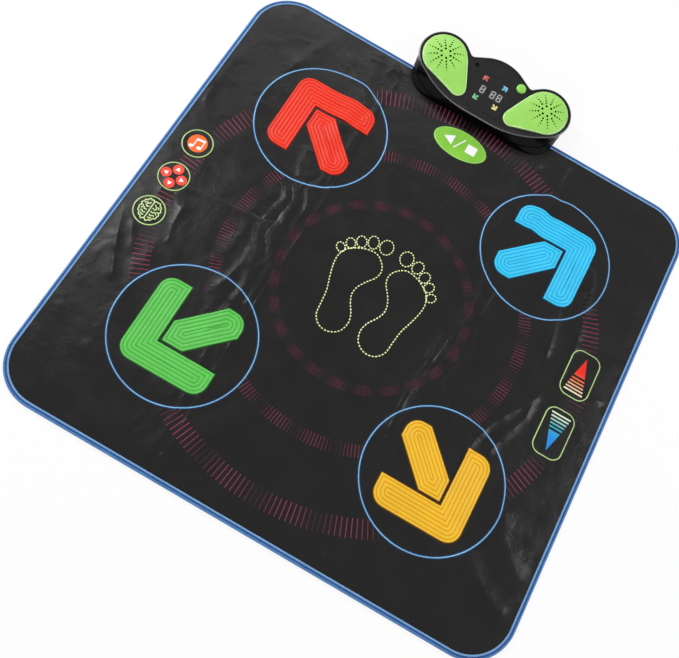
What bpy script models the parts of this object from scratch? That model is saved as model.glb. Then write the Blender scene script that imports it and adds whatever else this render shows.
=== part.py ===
"""Electronic dance mat: a soft square mat that folds in three, with four arrow pads, small mode and volume
pads and a console with two speakers on its rear edge. Metres, +Z up. The origin is the centre of the mat, on
the floor, and +Y points from the player to the console."""

import math

import bmesh
import bpy
from mathutils import Matrix, Vector

# Clearances
GAP = 0.0003
SIDE_CLEARANCE = 0.0004

# Mat outline
MAT_WIDTH = 0.900
MAT_DEPTH = 0.8956
MAT_CORNER_RADIUS = 0.080
CENTRE_PANEL_WIDTH = 0.296
BINDING_WIDTH = 0.009
BINDING_THICKNESS = 0.0006

# Layers of the mat, from the floor up
BASE_THICKNESS = 0.0007
FILM_THICKNESS = 0.0003
FOAM_THICKNESS = 0.0024
TOP_THICKNESS = 0.0006

# Pads
PAD_TRAVEL = 0.0010
FLANGE_WIDTH = 0.002
FLANGE_THICKNESS = 0.0013
ARROW_RISE = 0.0020
PAD_RISE = 0.0008
FOLD_MARGIN = 0.0035
FOLD_SLACK = 0.0043

# Arrow pads: a chevron with its corner outwards, and a slanted shaft behind it
ARROW_SPAN = 0.155
ARROW_ARM = 0.048
ARROW_SPLIT = 0.0055
SHAFT_HALF_WIDTH = 0.0265
ARROW_CORNER_RADIUS = 0.024
ARROW_FROM_REAR_EDGE = 0.1358
ARROW_FROM_FRONT_EDGE = 0.1428

# Start and stop pad
START_PAD_FROM_EDGE = 0.1018
START_PAD_HALF = (0.053, 0.029)

# Mode pads, in a column on the left
MODE_PAD_RADIUS = 0.028
MODE_PAD_SPACE = 0.020
MODE_PAD_FROM_EDGE = 0.056
MODE_COLUMN_Y = 0.005

# Volume pads, in a column on the right
VOLUME_PAD_SIZE = (0.055, 0.090)
VOLUME_PAD_RADIUS = 0.018
VOLUME_PAD_SPACE = 0.026
VOLUME_PAD_FROM_EDGE = 0.0745
VOLUME_COLUMN_Y = 0.005

# Console face: a plane that rises to the rear, whose frame has X across, Y up the slope and Z out of it
FACE_OVER_MAT = 0.0484
FACE_FRONT_Z = 0.0306
FACE_TILT = math.radians(8)
FRONT_CURVE_RADIUS = 0.170
FRONT_FLAT_HALF = 0.027
LOBE_X = 0.107
LOBE_Y = 0.076
LOBE_RADIUS = 0.048
DOME_RADIUS = 0.076
DOME_RISE = 0.0008
VALLEY_X = 0.0615
VALLEY_Y = 0.111
VALLEY_RADIUS = 0.008
FOOT_SET_BACK = 0.002
FOOT_CORNER_RADIUS = 0.030
FOOT_CORNER_IN = 0.004
BEAD_PROUD = 0.0012
BEAD_HEIGHT = 0.0022
EDGE_ROUND = 0.0015

# Console shells
SHELL_WALL = 0.002
FACE_WALL = 0.003
PARTING_Z = 0.015
REAR_FLOOR_Z = 0.002
MAT_PLATE_THICKNESS = 0.0035
STEP_CLEARANCE = 0.0024
POCKET_DEPTH = 0.0015
SEAT_LEDGE = 0.0065

# Speaker grilles
GRILLE_EDGE = 0.0055
GRILLE_TAIL_X = 0.057
GRILLE_TAIL_Y = 0.032
GRILLE_TAIL_RADIUS = 0.016
GRILLE_EDGE_RISE = 0.0011
GRILLE_DOME = 0.0062
GRILLE_WALL = 0.0016
GRILLE_SHARES = (0.88, 0.70, 0.50, 0.28, 0.08)
HOLE_RINGS = ((0.0096, 6, 0.0013), (0.0163, 12, 0.0011), (0.0220, 12, 0.0010))

# Speakers
SPEAKER_RADIUS = 0.039
SPEAKER_FLANGE = 0.0020
BASKET_NECK_RADIUS = 0.022
BASKET_DEPTH = 0.0100
MAGNET_DEPTH = 0.0090
CONE_THICKNESS = 0.0008

# Circuit board and display
BOARD_SIZE = (0.108, 0.088)
BOARD_CENTRE_Y = 0.056
BOARD_THICKNESS = 0.0016
BOARD_DEPTH = 0.0115
POST_RADIUS = 0.003
FRONT_POST = (0.048, 0.018)
REAR_POST = (0.026, 0.0955)
WINDOW_BOTTOM = (0.034, 0.015)
WINDOW_SHOULDER = (0.043, 0.080)
WINDOW_APEX_Y = 0.095
WINDOW_ARC_RADIUS = 0.080
WINDOW_CORNER_RADIUS = 0.006
WINDOW_LEDGE = 0.0025
WINDOW_THICKNESS = 0.0012
DIGIT_SIZE = (0.011, 0.0165)
DIGIT_CENTRES_X = (-0.0155, 0.006, 0.019)
DIGIT_CENTRE_Y = 0.054
MODULE_MARGIN = 0.003
LAMP_SIZE = 0.011
LAMP_BAR = 0.0033
LAMP_SKEW = 0.0023
LAMP_X = 0.020
LAMP_FRONT_Y = 0.034
LAMP_REAR_Y = 0.077

# Power button and microphone
BUTTON_POSITION = (0.046, 0.094)
BUTTON_RADIUS = 0.0092
BUTTON_RISE = 0.0032
BUTTON_FLANGE = 0.0022
BUTTON_STEM_RADIUS = 0.003
BUTTON_TRAVEL = 0.0012
BUTTON_DOME = ((1.0, 0.3), (0.9, 0.65), (0.6, 0.92), (0.2, 1.0))
SWITCH_SIZE = (0.006, 0.006)
MICROPHONE_POSITION = (-0.0465, 0.0925)
MICROPHONE_RADIUS = 0.0045
MICROPHONE_HOLE_RADIUS = 0.0024

# Battery compartment, with its cells lying across the console
CELL_RADIUS = 0.0071
CELL_LENGTH = 0.0504
CELL_PITCH = 0.0155
CELL_COUNT = 3
CELL_NUB = (0.0027, 0.0008)
CONTACT_THICKNESS = 0.0006
COMPARTMENT_BEHIND_MAT = 0.0371
DOOR_THICKNESS = 0.0016

# Fastening of the console to the mat
CLAMP_SIZE = (0.240, 0.014, 0.0024)
CLAMP_FROM_EDGE = 0.0244
CLAMP_SCREW_X = 0.090
SHELL_SCREW_X = 0.066
SHELL_SCREW_BEHIND_MAT = 0.0426
SCREW_RADIUS = 0.0015
SCREW_HEAD_RADIUS = 0.0034
SCREW_HEAD_HEIGHT = 0.0014
BOSS_WALL = 0.0028
TAIL_WIDTH = 0.030
TAIL_X = 0.020
FOOT_RADIUS = 0.009
FOOT_BEHIND_MAT = 0.0366

# Places and heights that follow
LOWER_FILM_Z = BASE_THICKNESS + GAP
UPPER_FILM_Z = LOWER_FILM_Z + FILM_THICKNESS + GAP
FOAM_Z = UPPER_FILM_Z + FILM_THICKNESS + GAP
FOAM_TOP = FOAM_Z + FOAM_THICKNESS
TOP_Z = FOAM_TOP + GAP
MAT_TOP = TOP_Z + TOP_THICKNESS
BINDING_TOP = MAT_TOP + GAP + BINDING_THICKNESS
PLATE_Z = BINDING_TOP + GAP
PLATE_TOP = PLATE_Z + MAT_PLATE_THICKNESS
MAT_REAR_Y = MAT_DEPTH / 2
ARROW_REAR_INNER_Y = MAT_REAR_Y - ARROW_FROM_REAR_EDGE - ARROW_SPAN
ARROW_FRONT_INNER_Y = MAT_REAR_Y - ARROW_FROM_FRONT_EDGE - ARROW_SPAN
START_PAD_Y = MAT_REAR_Y - START_PAD_FROM_EDGE
FACE_FRONT_Y = MAT_REAR_Y - FACE_OVER_MAT
CLAMP_Y = MAT_REAR_Y - CLAMP_FROM_EDGE
COMPARTMENT_CENTRE_Y = MAT_REAR_Y + COMPARTMENT_BEHIND_MAT
SHELL_SCREW_POSITION = (SHELL_SCREW_X, MAT_REAR_Y + SHELL_SCREW_BEHIND_MAT)
FOOT_Y = MAT_REAR_Y + FOOT_BEHIND_MAT
FOLD_X = CENTRE_PANEL_WIDTH / 2
LEFT_FOLD_Z = -GAP / 2
RIGHT_FOLD_Z = -(MAT_TOP + ARROW_RISE + FOLD_SLACK + 2 * GAP) / 2
STEP_Y = MAT_REAR_Y + STEP_CLEARANCE
ARROW_INNER_X = FOLD_X + FOLD_MARGIN + FLANGE_WIDTH
FLANGE_Z = FOAM_TOP - FLANGE_THICKNESS
REAR_FLOOR_TOP = REAR_FLOOR_Z + SHELL_WALL
CELL_Z = REAR_FLOOR_Z + DOOR_THICKNESS + 2 * GAP + CELL_RADIUS
COMPARTMENT_TOP = CELL_Z + CELL_RADIUS + 2 * GAP
BOSS_SPLIT_Z = COMPARTMENT_TOP
CLAMP_SCREW_TIP_Z = PLATE_TOP - 2 * GAP

# Fineness of the curves
SMOOTH_ANGLE = math.radians(35)
BEVEL_ANGLE = math.radians(60)
ARC_STEPS = 6
ROUND_STEPS = 20
RIM_STEPS = (3, 12, 4, 8, 4, 12, 3)
TEARDROP_STEPS = (8, 16)
SPEAKER_STEPS = 18
HOLE_STEPS = 6


def clear_scene():
    for obj in list(bpy.data.objects):
        bpy.data.objects.remove(obj, do_unlink=True)


def material(name, colour, roughness, metallic=0.0):
    made = bpy.data.materials.new(name)
    made.use_nodes = True
    shader = made.node_tree.nodes["Principled BSDF"]
    shader.inputs["Base Color"].default_value = (*colour, 1.0)
    shader.inputs["Roughness"].default_value = roughness
    shader.inputs["Metallic"].default_value = metallic
    return made


def frame_empty(name, location, tilt=0.0):
    empty = bpy.data.objects.new(name, None)
    empty.location = location
    empty.rotation_euler = (tilt, 0.0, 0.0)
    empty.empty_display_size = 0.02
    bpy.context.scene.collection.objects.link(empty)
    return empty


def add_object(name, bm, finish, smooth=False):
    bmesh.ops.remove_doubles(bm, verts=bm.verts, dist=1e-7)
    mesh = bpy.data.meshes.new(name)
    bm.to_mesh(mesh)
    bm.free()
    if smooth:
        mesh.shade_smooth()
        mesh.set_sharp_from_angle(angle=SMOOTH_ANGLE)
    mesh.materials.append(finish)
    obj = bpy.data.objects.new(name, mesh)
    bpy.context.scene.collection.objects.link(obj)
    return obj


def in_frame(obj, empty):
    """The mesh is written in the empty's own frame."""
    obj.parent = empty
    return obj


def hang_on(obj, empty):
    """The mesh is written in the mat's frame, and follows the empty from where it stands."""
    obj.parent = empty
    obj.matrix_parent_inverse = Matrix.Translation(empty.location).inverted()
    return obj


def set_origin(obj, point):
    obj.data.transform(Matrix.Translation(-Vector(point)))
    obj.location = point
    return obj


def boolean(obj, operation, tool):
    tool.hide_render = True
    tool.display_type = "WIRE"
    step = obj.modifiers.new(f"{operation.lower()} {tool.name}", "BOOLEAN")
    step.operation = operation
    step.object = tool
    step.solver = "EXACT"
    return obj


def signed_area(outline):
    pairs = zip(outline, outline[1:] + outline[:1])
    return sum(x0 * y1 - x1 * y0 for (x0, y0), (x1, y1) in pairs) / 2


def arc(centre, radius, start, end, steps):
    """Points from one angle to another; a negative radius puts them on the far side of the centre."""
    turn = (end - start) / steps
    return [
        (centre[0] + radius * math.cos(start + i * turn), centre[1] + radius * math.sin(start + i * turn))
        for i in range(steps + 1)
    ]


def belt(pulleys, steps):
    """The outline of a belt run anticlockwise round circles (x, y, radius), with so many steps on each.
    A negative radius turns it inwards."""
    normals = []
    for (x0, y0, r0), (x1, y1, r1) in zip(pulleys, pulleys[1:] + pulleys[:1]):
        heading = math.atan2(y1 - y0, x1 - x0)
        normals.append(heading - math.acos((r0 - r1) / math.hypot(x1 - x0, y1 - y0)))
    outline = []
    for index, (x, y, radius) in enumerate(pulleys):
        start = normals[index - 1]
        end = normals[index]
        turn = math.remainder(end - start, math.tau)
        if radius > 0 and turn < 0:
            turn += math.tau
        if radius < 0 and turn > 0:
            turn -= math.tau
        outline += arc((x, y), radius, start, start + turn, steps[index])
    return outline


def inset(pulleys, distance):
    return [(x, y, radius - distance) for x, y, radius in pulleys]


def mirrored(pulleys):
    """The right half of a belt, from front to rear, followed by its mirror image."""
    return pulleys + [(-x, y, radius) for x, y, radius in reversed(pulleys) if x]


def offset_corners(corners, distance):
    """A polygon with each edge moved out by the distance; its corners run anticlockwise."""
    moved = []
    for index, (x, y) in enumerate(corners):
        before = Vector((x, y)) - Vector(corners[index - 1])
        after = Vector(corners[(index + 1) % len(corners)]) - Vector((x, y))
        normal_a = Vector((before.y, -before.x)).normalized()
        normal_b = Vector((after.y, -after.x)).normalized()
        bisector = (normal_a + normal_b) * distance / (1 + normal_a.dot(normal_b))
        moved.append((x + bisector.x, y + bisector.y))
    return moved


def rounded(corners, radii, steps=ARC_STEPS):
    """The outline of a polygon, with a fillet at each corner that has a radius."""
    outline = []
    for index, (x, y) in enumerate(corners):
        radius = radii[index]
        if radius <= 0:
            outline.append((x, y))
            continue
        here = Vector((x, y))
        back = (Vector(corners[index - 1]) - here).normalized()
        ahead = (Vector(corners[(index + 1) % len(corners)]) - here).normalized()
        half = back.angle(ahead) / 2
        centre = here + (back + ahead).normalized() * radius / math.sin(half)
        start = here + back * radius / math.tan(half) - centre
        turn = math.copysign(math.pi - 2 * half, back.y * ahead.x - back.x * ahead.y)
        angle = math.atan2(start.y, start.x)
        outline += arc(centre, radius, angle, angle + turn, steps)
    return outline


def circle(x, y, radius, steps=ROUND_STEPS):
    return arc((x, y), radius, 0.0, math.tau * (1 - 1 / steps), steps - 1)


def ellipse(x, y, half_x, half_y, steps=ROUND_STEPS):
    return [(x + half_x * u, y + half_y * v) for u, v in circle(0.0, 0.0, 1.0, steps)]


def rectangle(x0, y0, x1, y1):
    return [(x0, y0), (x1, y0), (x1, y1), (x0, y1)]


def add_rings(bm, rings):
    """Joins rings of 3-D points, in order, into a closed body with flat ends."""
    loops = [[bm.verts.new(point) for point in ring] for ring in rings]
    sides = []
    for low, high in zip(loops, loops[1:]):
        for i in range(len(low)):
            j = (i + 1) % len(low)
            sides.append(bm.faces.new((low[i], low[j], high[j], high[i])))
    bm.faces.new(list(reversed(loops[0])))
    bm.faces.new(loops[-1])
    return sides


def add_loft(bm, rings):
    """As add_rings, for walls that twist: their sides are split into triangles, which are flat."""
    bmesh.ops.triangulate(bm, faces=add_rings(bm, rings))


def add_prism(bm, outline, low, high):
    if signed_area(outline) < 0:
        outline = outline[::-1]
    add_rings(bm, [[(x, y, z) for x, y in outline] for z in (low, high)])


def add_turned(bm, profile, x, y, steps=ROUND_STEPS):
    """Turns a profile of (radius, height) about a point: up its outer side, then down its inner side."""
    rings = [[(*point, z) for point in circle(x, y, radius, steps)] for radius, z in profile]
    add_rings(bm, rings)


def prisms(name, outlines, low, high, finish):
    bm = bmesh.new()
    for outline in outlines:
        add_prism(bm, outline, low, high)
    return add_object(name, bm, finish)


def panel_corners(side, inset_edge, inset_rear=None):
    """Corners and radii of the left (-1), centre (0) or right (1) panel, drawn in from the mat's edge."""
    half_x = MAT_WIDTH / 2 - inset_edge
    front = -(MAT_DEPTH / 2 - inset_edge)
    rear = MAT_DEPTH / 2 - (inset_edge if inset_rear is None else inset_rear)
    fold = FOLD_X + GAP / 2
    if side == 0:
        inner = FOLD_X - GAP / 2
        return rectangle(-inner, front, inner, rear), (0, 0, 0, 0)
    radius = MAT_CORNER_RADIUS - inset_edge
    corners = [(fold, front), (half_x, front), (half_x, rear), (fold, rear)]
    if side < 0:
        corners = [(-x, y) for x, y in reversed(corners)]
    return corners, (0, radius, radius, 0)


def panel_outline(side, inset_edge, inset_rear=None):
    corners, radii = panel_corners(side, inset_edge, inset_rear)
    return rounded(corners, radii)


def arrow_place(side_x, side_y):
    """Maps the arrow's own corners to the mat: its inner corner is nearest the mat's centre."""
    inner_y = ARROW_REAR_INNER_Y if side_y > 0 else ARROW_FRONT_INNER_Y

    def place(outline):
        return [(side_x * (ARROW_INNER_X + u), side_y * (inner_y + v)) for u, v in outline]

    return place


def chevron(grow):
    span = ARROW_SPAN
    inner = ARROW_SPAN - ARROW_ARM
    corners = [(span, 0), (span, span), (0, span), (0, inner), (inner, inner), (inner, 0)]
    radius = ARROW_CORNER_RADIUS + grow
    return rounded(offset_corners(corners, grow), (radius, radius, radius, 0, 0, 0))


def shaft(grow):
    tip = ARROW_SPAN - ARROW_ARM - ARROW_SPLIT
    skew = SHAFT_HALF_WIDTH * math.sqrt(2)
    corners = [(0, 0), (skew, 0), (tip, tip - skew), (tip, tip), (tip - skew, tip), (0, skew)]
    return rounded(offset_corners(corners, grow), (ARROW_CORNER_RADIUS + grow, 0, 0, 0, 0, 0))


def arrow_flange(grow):
    """Chevron and shaft as one outline, joined across the split behind the tip."""
    span = ARROW_SPAN
    inner = ARROW_SPAN - ARROW_ARM
    tip = inner - ARROW_SPLIT
    skew = SHAFT_HALF_WIDTH * math.sqrt(2)
    half = [(skew, 0), (tip, tip - skew), (inner, tip - skew), (inner, 0), (span, 0)]
    corners = [(0, 0)] + half + [(span, span)] + [(v, u) for u, v in reversed(half)]
    radius = ARROW_CORNER_RADIUS + grow
    radii = [radius] + [0] * 4 + [radius] * 3 + [0] * 4
    return rounded(offset_corners(corners, grow), radii)


def mode_pad_centres():
    pitch = 2 * MODE_PAD_RADIUS + MODE_PAD_SPACE
    x = -(MAT_WIDTH / 2 - MODE_PAD_FROM_EDGE)
    return [(x, MODE_COLUMN_Y + step * pitch) for step in (1, 0, -1)]


def volume_pad_centres():
    pitch = VOLUME_PAD_SIZE[1] + VOLUME_PAD_SPACE
    x = MAT_WIDTH / 2 - VOLUME_PAD_FROM_EDGE
    return [(x, VOLUME_COLUMN_Y + step * pitch / 2) for step in (1, -1)]


def volume_outline(centre, grow):
    half_x = VOLUME_PAD_SIZE[0] / 2 + grow
    half_y = VOLUME_PAD_SIZE[1] / 2 + grow
    x, y = centre
    corners = rectangle(x - half_x, y - half_y, x + half_x, y + half_y)
    return rounded(corners, [VOLUME_PAD_RADIUS + grow] * 4)


def pad_outlines(side, grow_face, grow_flange):
    """Face outlines and flange outlines of every pad on the left (-1), centre (0) or right (1) panel."""
    if side == 0:
        half_x, half_y = START_PAD_HALF
        faces = [ellipse(0, START_PAD_Y, half_x + grow_face, half_y + grow_face)]
        flanges = [ellipse(0, START_PAD_Y, half_x + grow_flange, half_y + grow_flange)]
        return faces, flanges
    faces = []
    flanges = []
    for side_y in (1, -1):
        place = arrow_place(side, side_y)
        faces += [place(chevron(grow_face)), place(shaft(grow_face))]
        flanges += [place(arrow_flange(grow_flange))]
    if side < 0:
        faces += [circle(*centre, MODE_PAD_RADIUS + grow_face) for centre in mode_pad_centres()]
        flanges += [circle(*centre, MODE_PAD_RADIUS + grow_flange) for centre in mode_pad_centres()]
    else:
        faces += [volume_outline(centre, grow_face) for centre in volume_pad_centres()]
        flanges += [volume_outline(centre, grow_flange) for centre in volume_pad_centres()]
    return faces, flanges


def clamp_screws():
    return [(-CLAMP_SCREW_X, CLAMP_Y), (CLAMP_SCREW_X, CLAMP_Y)]


def make_panel(side, name, finishes, pivot):
    """The layers of one panel, from the base sheet to the printed top sheet."""
    edge = BINDING_THICKNESS + GAP
    under_binding = BINDING_WIDTH + GAP
    rear = edge if side == 0 else None
    layers = (
        ("base_sheet", under_binding, 0.0, BASE_THICKNESS, "base"),
        ("lower_film", edge, LOWER_FILM_Z, LOWER_FILM_Z + FILM_THICKNESS, "film"),
        ("upper_film", edge, UPPER_FILM_Z, UPPER_FILM_Z + FILM_THICKNESS, "film"),
        ("foam", edge, FOAM_Z, FOAM_TOP, "foam"),
        ("top_sheet", edge, TOP_Z, MAT_TOP, "sheet"),
    )
    faces, flanges = pad_outlines(side, SIDE_CLEARANCE, FLANGE_WIDTH + SIDE_CLEARANCE)
    windows = {"foam": flanges, "top_sheet": faces}
    for layer, inset_edge, low, high, finish in layers:
        outline = panel_outline(side, inset_edge, rear)
        sheet = prisms(f"{name}_{layer}", [outline], low, high, finishes[finish])
        openings = list(windows.get(layer, []))
        if side == 0:
            head = layer in ("base_sheet", "lower_film", "upper_film")
            radius = (SCREW_HEAD_RADIUS if head else SCREW_RADIUS) + SIDE_CLEARANCE
            openings += [circle(x, y, radius, ROUND_STEPS // 2) for x, y in clamp_screws()]
        if openings:
            tool = prisms(f"{name}_{layer}_windows", openings, low - GAP, high + GAP, finishes[finish])
            boolean(sheet, "DIFFERENCE", tool)
            if pivot:
                hang_on(tool, pivot)
        if pivot:
            hang_on(sheet, pivot)


def make_binding(side, name, finish, pivot):
    """A tape folded round the mat's edge: a top leg, a web and a bottom leg beside the base sheet."""
    bottom_leg = (0.0, BASE_THICKNESS)
    top_leg = (BINDING_TOP - BINDING_THICKNESS, BINDING_TOP)
    section = (
        (BINDING_WIDTH, bottom_leg[1]),
        (BINDING_WIDTH, bottom_leg[0]),
        (0.0, bottom_leg[0]),
        (0.0, top_leg[1]),
        (BINDING_WIDTH, top_leg[1]),
        (BINDING_WIDTH, top_leg[0]),
        (BINDING_THICKNESS, top_leg[0]),
        (BINDING_THICKNESS, bottom_leg[1]),
    )
    lines = []
    for inset_edge, z in section:
        corners, radii = panel_corners(side, inset_edge)
        outline = rounded(corners, radii)
        if side == 0:
            outline = outline[:2]
        lines.append([(x, y, z) for x, y in outline])
    bm = bmesh.new()
    stations = [list(station) for station in zip(*lines)]
    add_rings(bm, stations)
    bmesh.ops.recalc_face_normals(bm, faces=bm.faces)
    tape = add_object(name, bm, finish)
    if pivot:
        hang_on(tape, pivot)


def make_pad(name, faces, flange, rise, centre, finish, pivot):
    """A pad whose flange lies in the foam under the top sheet, and whose face stands up through it."""
    pad = prisms(name, [flange], FLANGE_Z, FOAM_TOP, finish)
    overlap = FLANGE_THICKNESS / 2
    raised = prisms(f"{name}_face", faces, FOAM_TOP - overlap, MAT_TOP + rise, finish)
    boolean(pad, "UNION", raised)
    place = (*centre, FLANGE_Z)
    set_origin(pad, place)
    set_origin(raised, place)
    for piece in (pad, raised):
        if pivot:
            hang_on(piece, pivot)
    bevel = raised.modifiers.new("soft top edge", "BEVEL")
    bevel.width = rise / 3
    bevel.segments = 1
    bevel.limit_method = "ANGLE"
    bevel.angle_limit = BEVEL_ANGLE


def make_pads(finishes, left_pivot, right_pivot):
    arrows = (
        ("arrow_pad_red", -1, 1, "red", left_pivot),
        ("arrow_pad_blue", 1, 1, "blue", right_pivot),
        ("arrow_pad_green", -1, -1, "green", left_pivot),
        ("arrow_pad_yellow", 1, -1, "yellow", right_pivot),
    )
    middle = ARROW_SPAN / 2
    for name, side_x, side_y, colour, pivot in arrows:
        place = arrow_place(side_x, side_y)
        faces = [place(chevron(0.0)), place(shaft(0.0))]
        centre = place([(middle, middle)])[0]
        make_pad(name, faces, place(arrow_flange(FLANGE_WIDTH)), ARROW_RISE, centre, finishes[colour], pivot)
    half_x, half_y = START_PAD_HALF
    face = ellipse(0, START_PAD_Y, half_x, half_y)
    flange = ellipse(0, START_PAD_Y, half_x + FLANGE_WIDTH, half_y + FLANGE_WIDTH)
    make_pad("start_stop_pad", [face], flange, PAD_RISE, (0, START_PAD_Y), finishes["green"], None)
    for number, centre in enumerate(mode_pad_centres(), 1):
        face = circle(*centre, MODE_PAD_RADIUS)
        flange = circle(*centre, MODE_PAD_RADIUS + FLANGE_WIDTH)
        make_pad(f"mode_pad_{number}", [face], flange, PAD_RISE, centre, finishes["sheet"], left_pivot)
    for word, centre in zip(("up", "down"), volume_pad_centres()):
        face = volume_outline(centre, 0.0)
        flange = volume_outline(centre, FLANGE_WIDTH)
        make_pad(f"volume_{word}_pad", [face], flange, PAD_RISE, centre, finishes["sheet"], right_pivot)


def face_to_mat(x, y, z=0.0):
    """A point of the console face's frame, in the mat's frame."""
    along = math.cos(FACE_TILT)
    rise = math.sin(FACE_TILT)
    return (x, FACE_FRONT_Y + y * along - z * rise, FACE_FRONT_Z + y * rise + z * along)


def rim_pulleys():
    dome_y = LOBE_Y + LOBE_RADIUS + DOME_RISE - DOME_RADIUS
    right = [
        (FRONT_FLAT_HALF, FRONT_CURVE_RADIUS, FRONT_CURVE_RADIUS),
        (LOBE_X, LOBE_Y, LOBE_RADIUS),
        (VALLEY_X, VALLEY_Y, -VALLEY_RADIUS),
        (0.0, dome_y, DOME_RADIUS),
    ]
    return mirrored(right)


def foot_pulleys():
    """The console's outline on the floor: as its rim, but with squarer front corners."""
    along = math.cos(FACE_TILT)
    pulleys = [(x, FACE_FRONT_Y + y * along, radius) for x, y, radius in rim_pulleys()]
    corner_x = LOBE_X + LOBE_RADIUS - FOOT_CORNER_IN - FOOT_CORNER_RADIUS
    corner_y = FACE_FRONT_Y + FOOT_SET_BACK + FOOT_CORNER_RADIUS
    pulleys[0] = (corner_x, corner_y, FOOT_CORNER_RADIUS)
    pulleys[-1] = (-corner_x, corner_y, FOOT_CORNER_RADIUS)
    return pulleys


def rim_ring(distance, height):
    return [face_to_mat(x, y, height) for x, y in belt(inset(rim_pulleys(), distance), RIM_STEPS)]


def wall_ring(distance, z, top_height):
    """The ring at one height of a wall that leans straight from the foot outline to the rim."""
    foot = belt(inset(foot_pulleys(), distance), RIM_STEPS)
    ring = []
    for (x, y), top in zip(foot, rim_ring(distance, top_height)):
        share = z / top[2]
        ring.append((x + (top[0] - x) * share, y + (top[1] - y) * share, z))
    return ring


def teardrop(side, grow, scale=1.0):
    """The grille's outline: a large circle over the speaker and a small one towards the front."""
    lobe = (LOBE_X, LOBE_Y, (LOBE_RADIUS - GRILLE_EDGE) * scale + grow)
    tail_x = LOBE_X + (GRILLE_TAIL_X - LOBE_X) * scale
    tail_y = LOBE_Y + (GRILLE_TAIL_Y - LOBE_Y) * scale
    tail = (tail_x, tail_y, GRILLE_TAIL_RADIUS * scale + grow)
    outline = belt([tail, lobe], TEARDROP_STEPS)
    return outline if side > 0 else [(-x, y) for x, y in reversed(outline)]


def window_outline(grow):
    bottom_x, bottom_y = WINDOW_BOTTOM
    shoulder_x, shoulder_y = WINDOW_SHOULDER
    right = [(bottom_x, bottom_y), (shoulder_x, shoulder_y)]
    corners = right + [(0.0, WINDOW_APEX_Y)] + [(-x, y) for x, y in reversed(right)]
    small = WINDOW_CORNER_RADIUS + grow
    return rounded(offset_corners(corners, grow), (small, small, WINDOW_ARC_RADIUS + grow, small, small))


def digit_outline(x, grow):
    half_x = DIGIT_SIZE[0] / 2 + grow
    half_y = DIGIT_SIZE[1] / 2 + grow
    return rectangle(x - half_x, DIGIT_CENTRE_Y - half_y, x + half_x, DIGIT_CENTRE_Y + half_y)


def lamp_outline(side_x, side_y, grow):
    """A small one-piece arrow that points away from the middle of the display."""
    size = LAMP_SIZE
    neck = size - LAMP_BAR
    half = [(LAMP_SKEW, 0), (neck, neck - LAMP_SKEW), (neck, LAMP_BAR), (size, LAMP_BAR)]
    corners = [(0, 0)] + half + [(size, size)] + [(v, u) for u, v in reversed(half)]
    centre_y = LAMP_REAR_Y if side_y > 0 else LAMP_FRONT_Y
    middle = size / 2
    moved = offset_corners(corners, grow)
    return [(side_x * (LAMP_X + u - middle), centre_y + side_y * (v - middle)) for u, v in moved]


LAMPS = (("red", -1, 1), ("blue", 1, 1), ("green", -1, -1), ("yellow", 1, -1))


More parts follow.
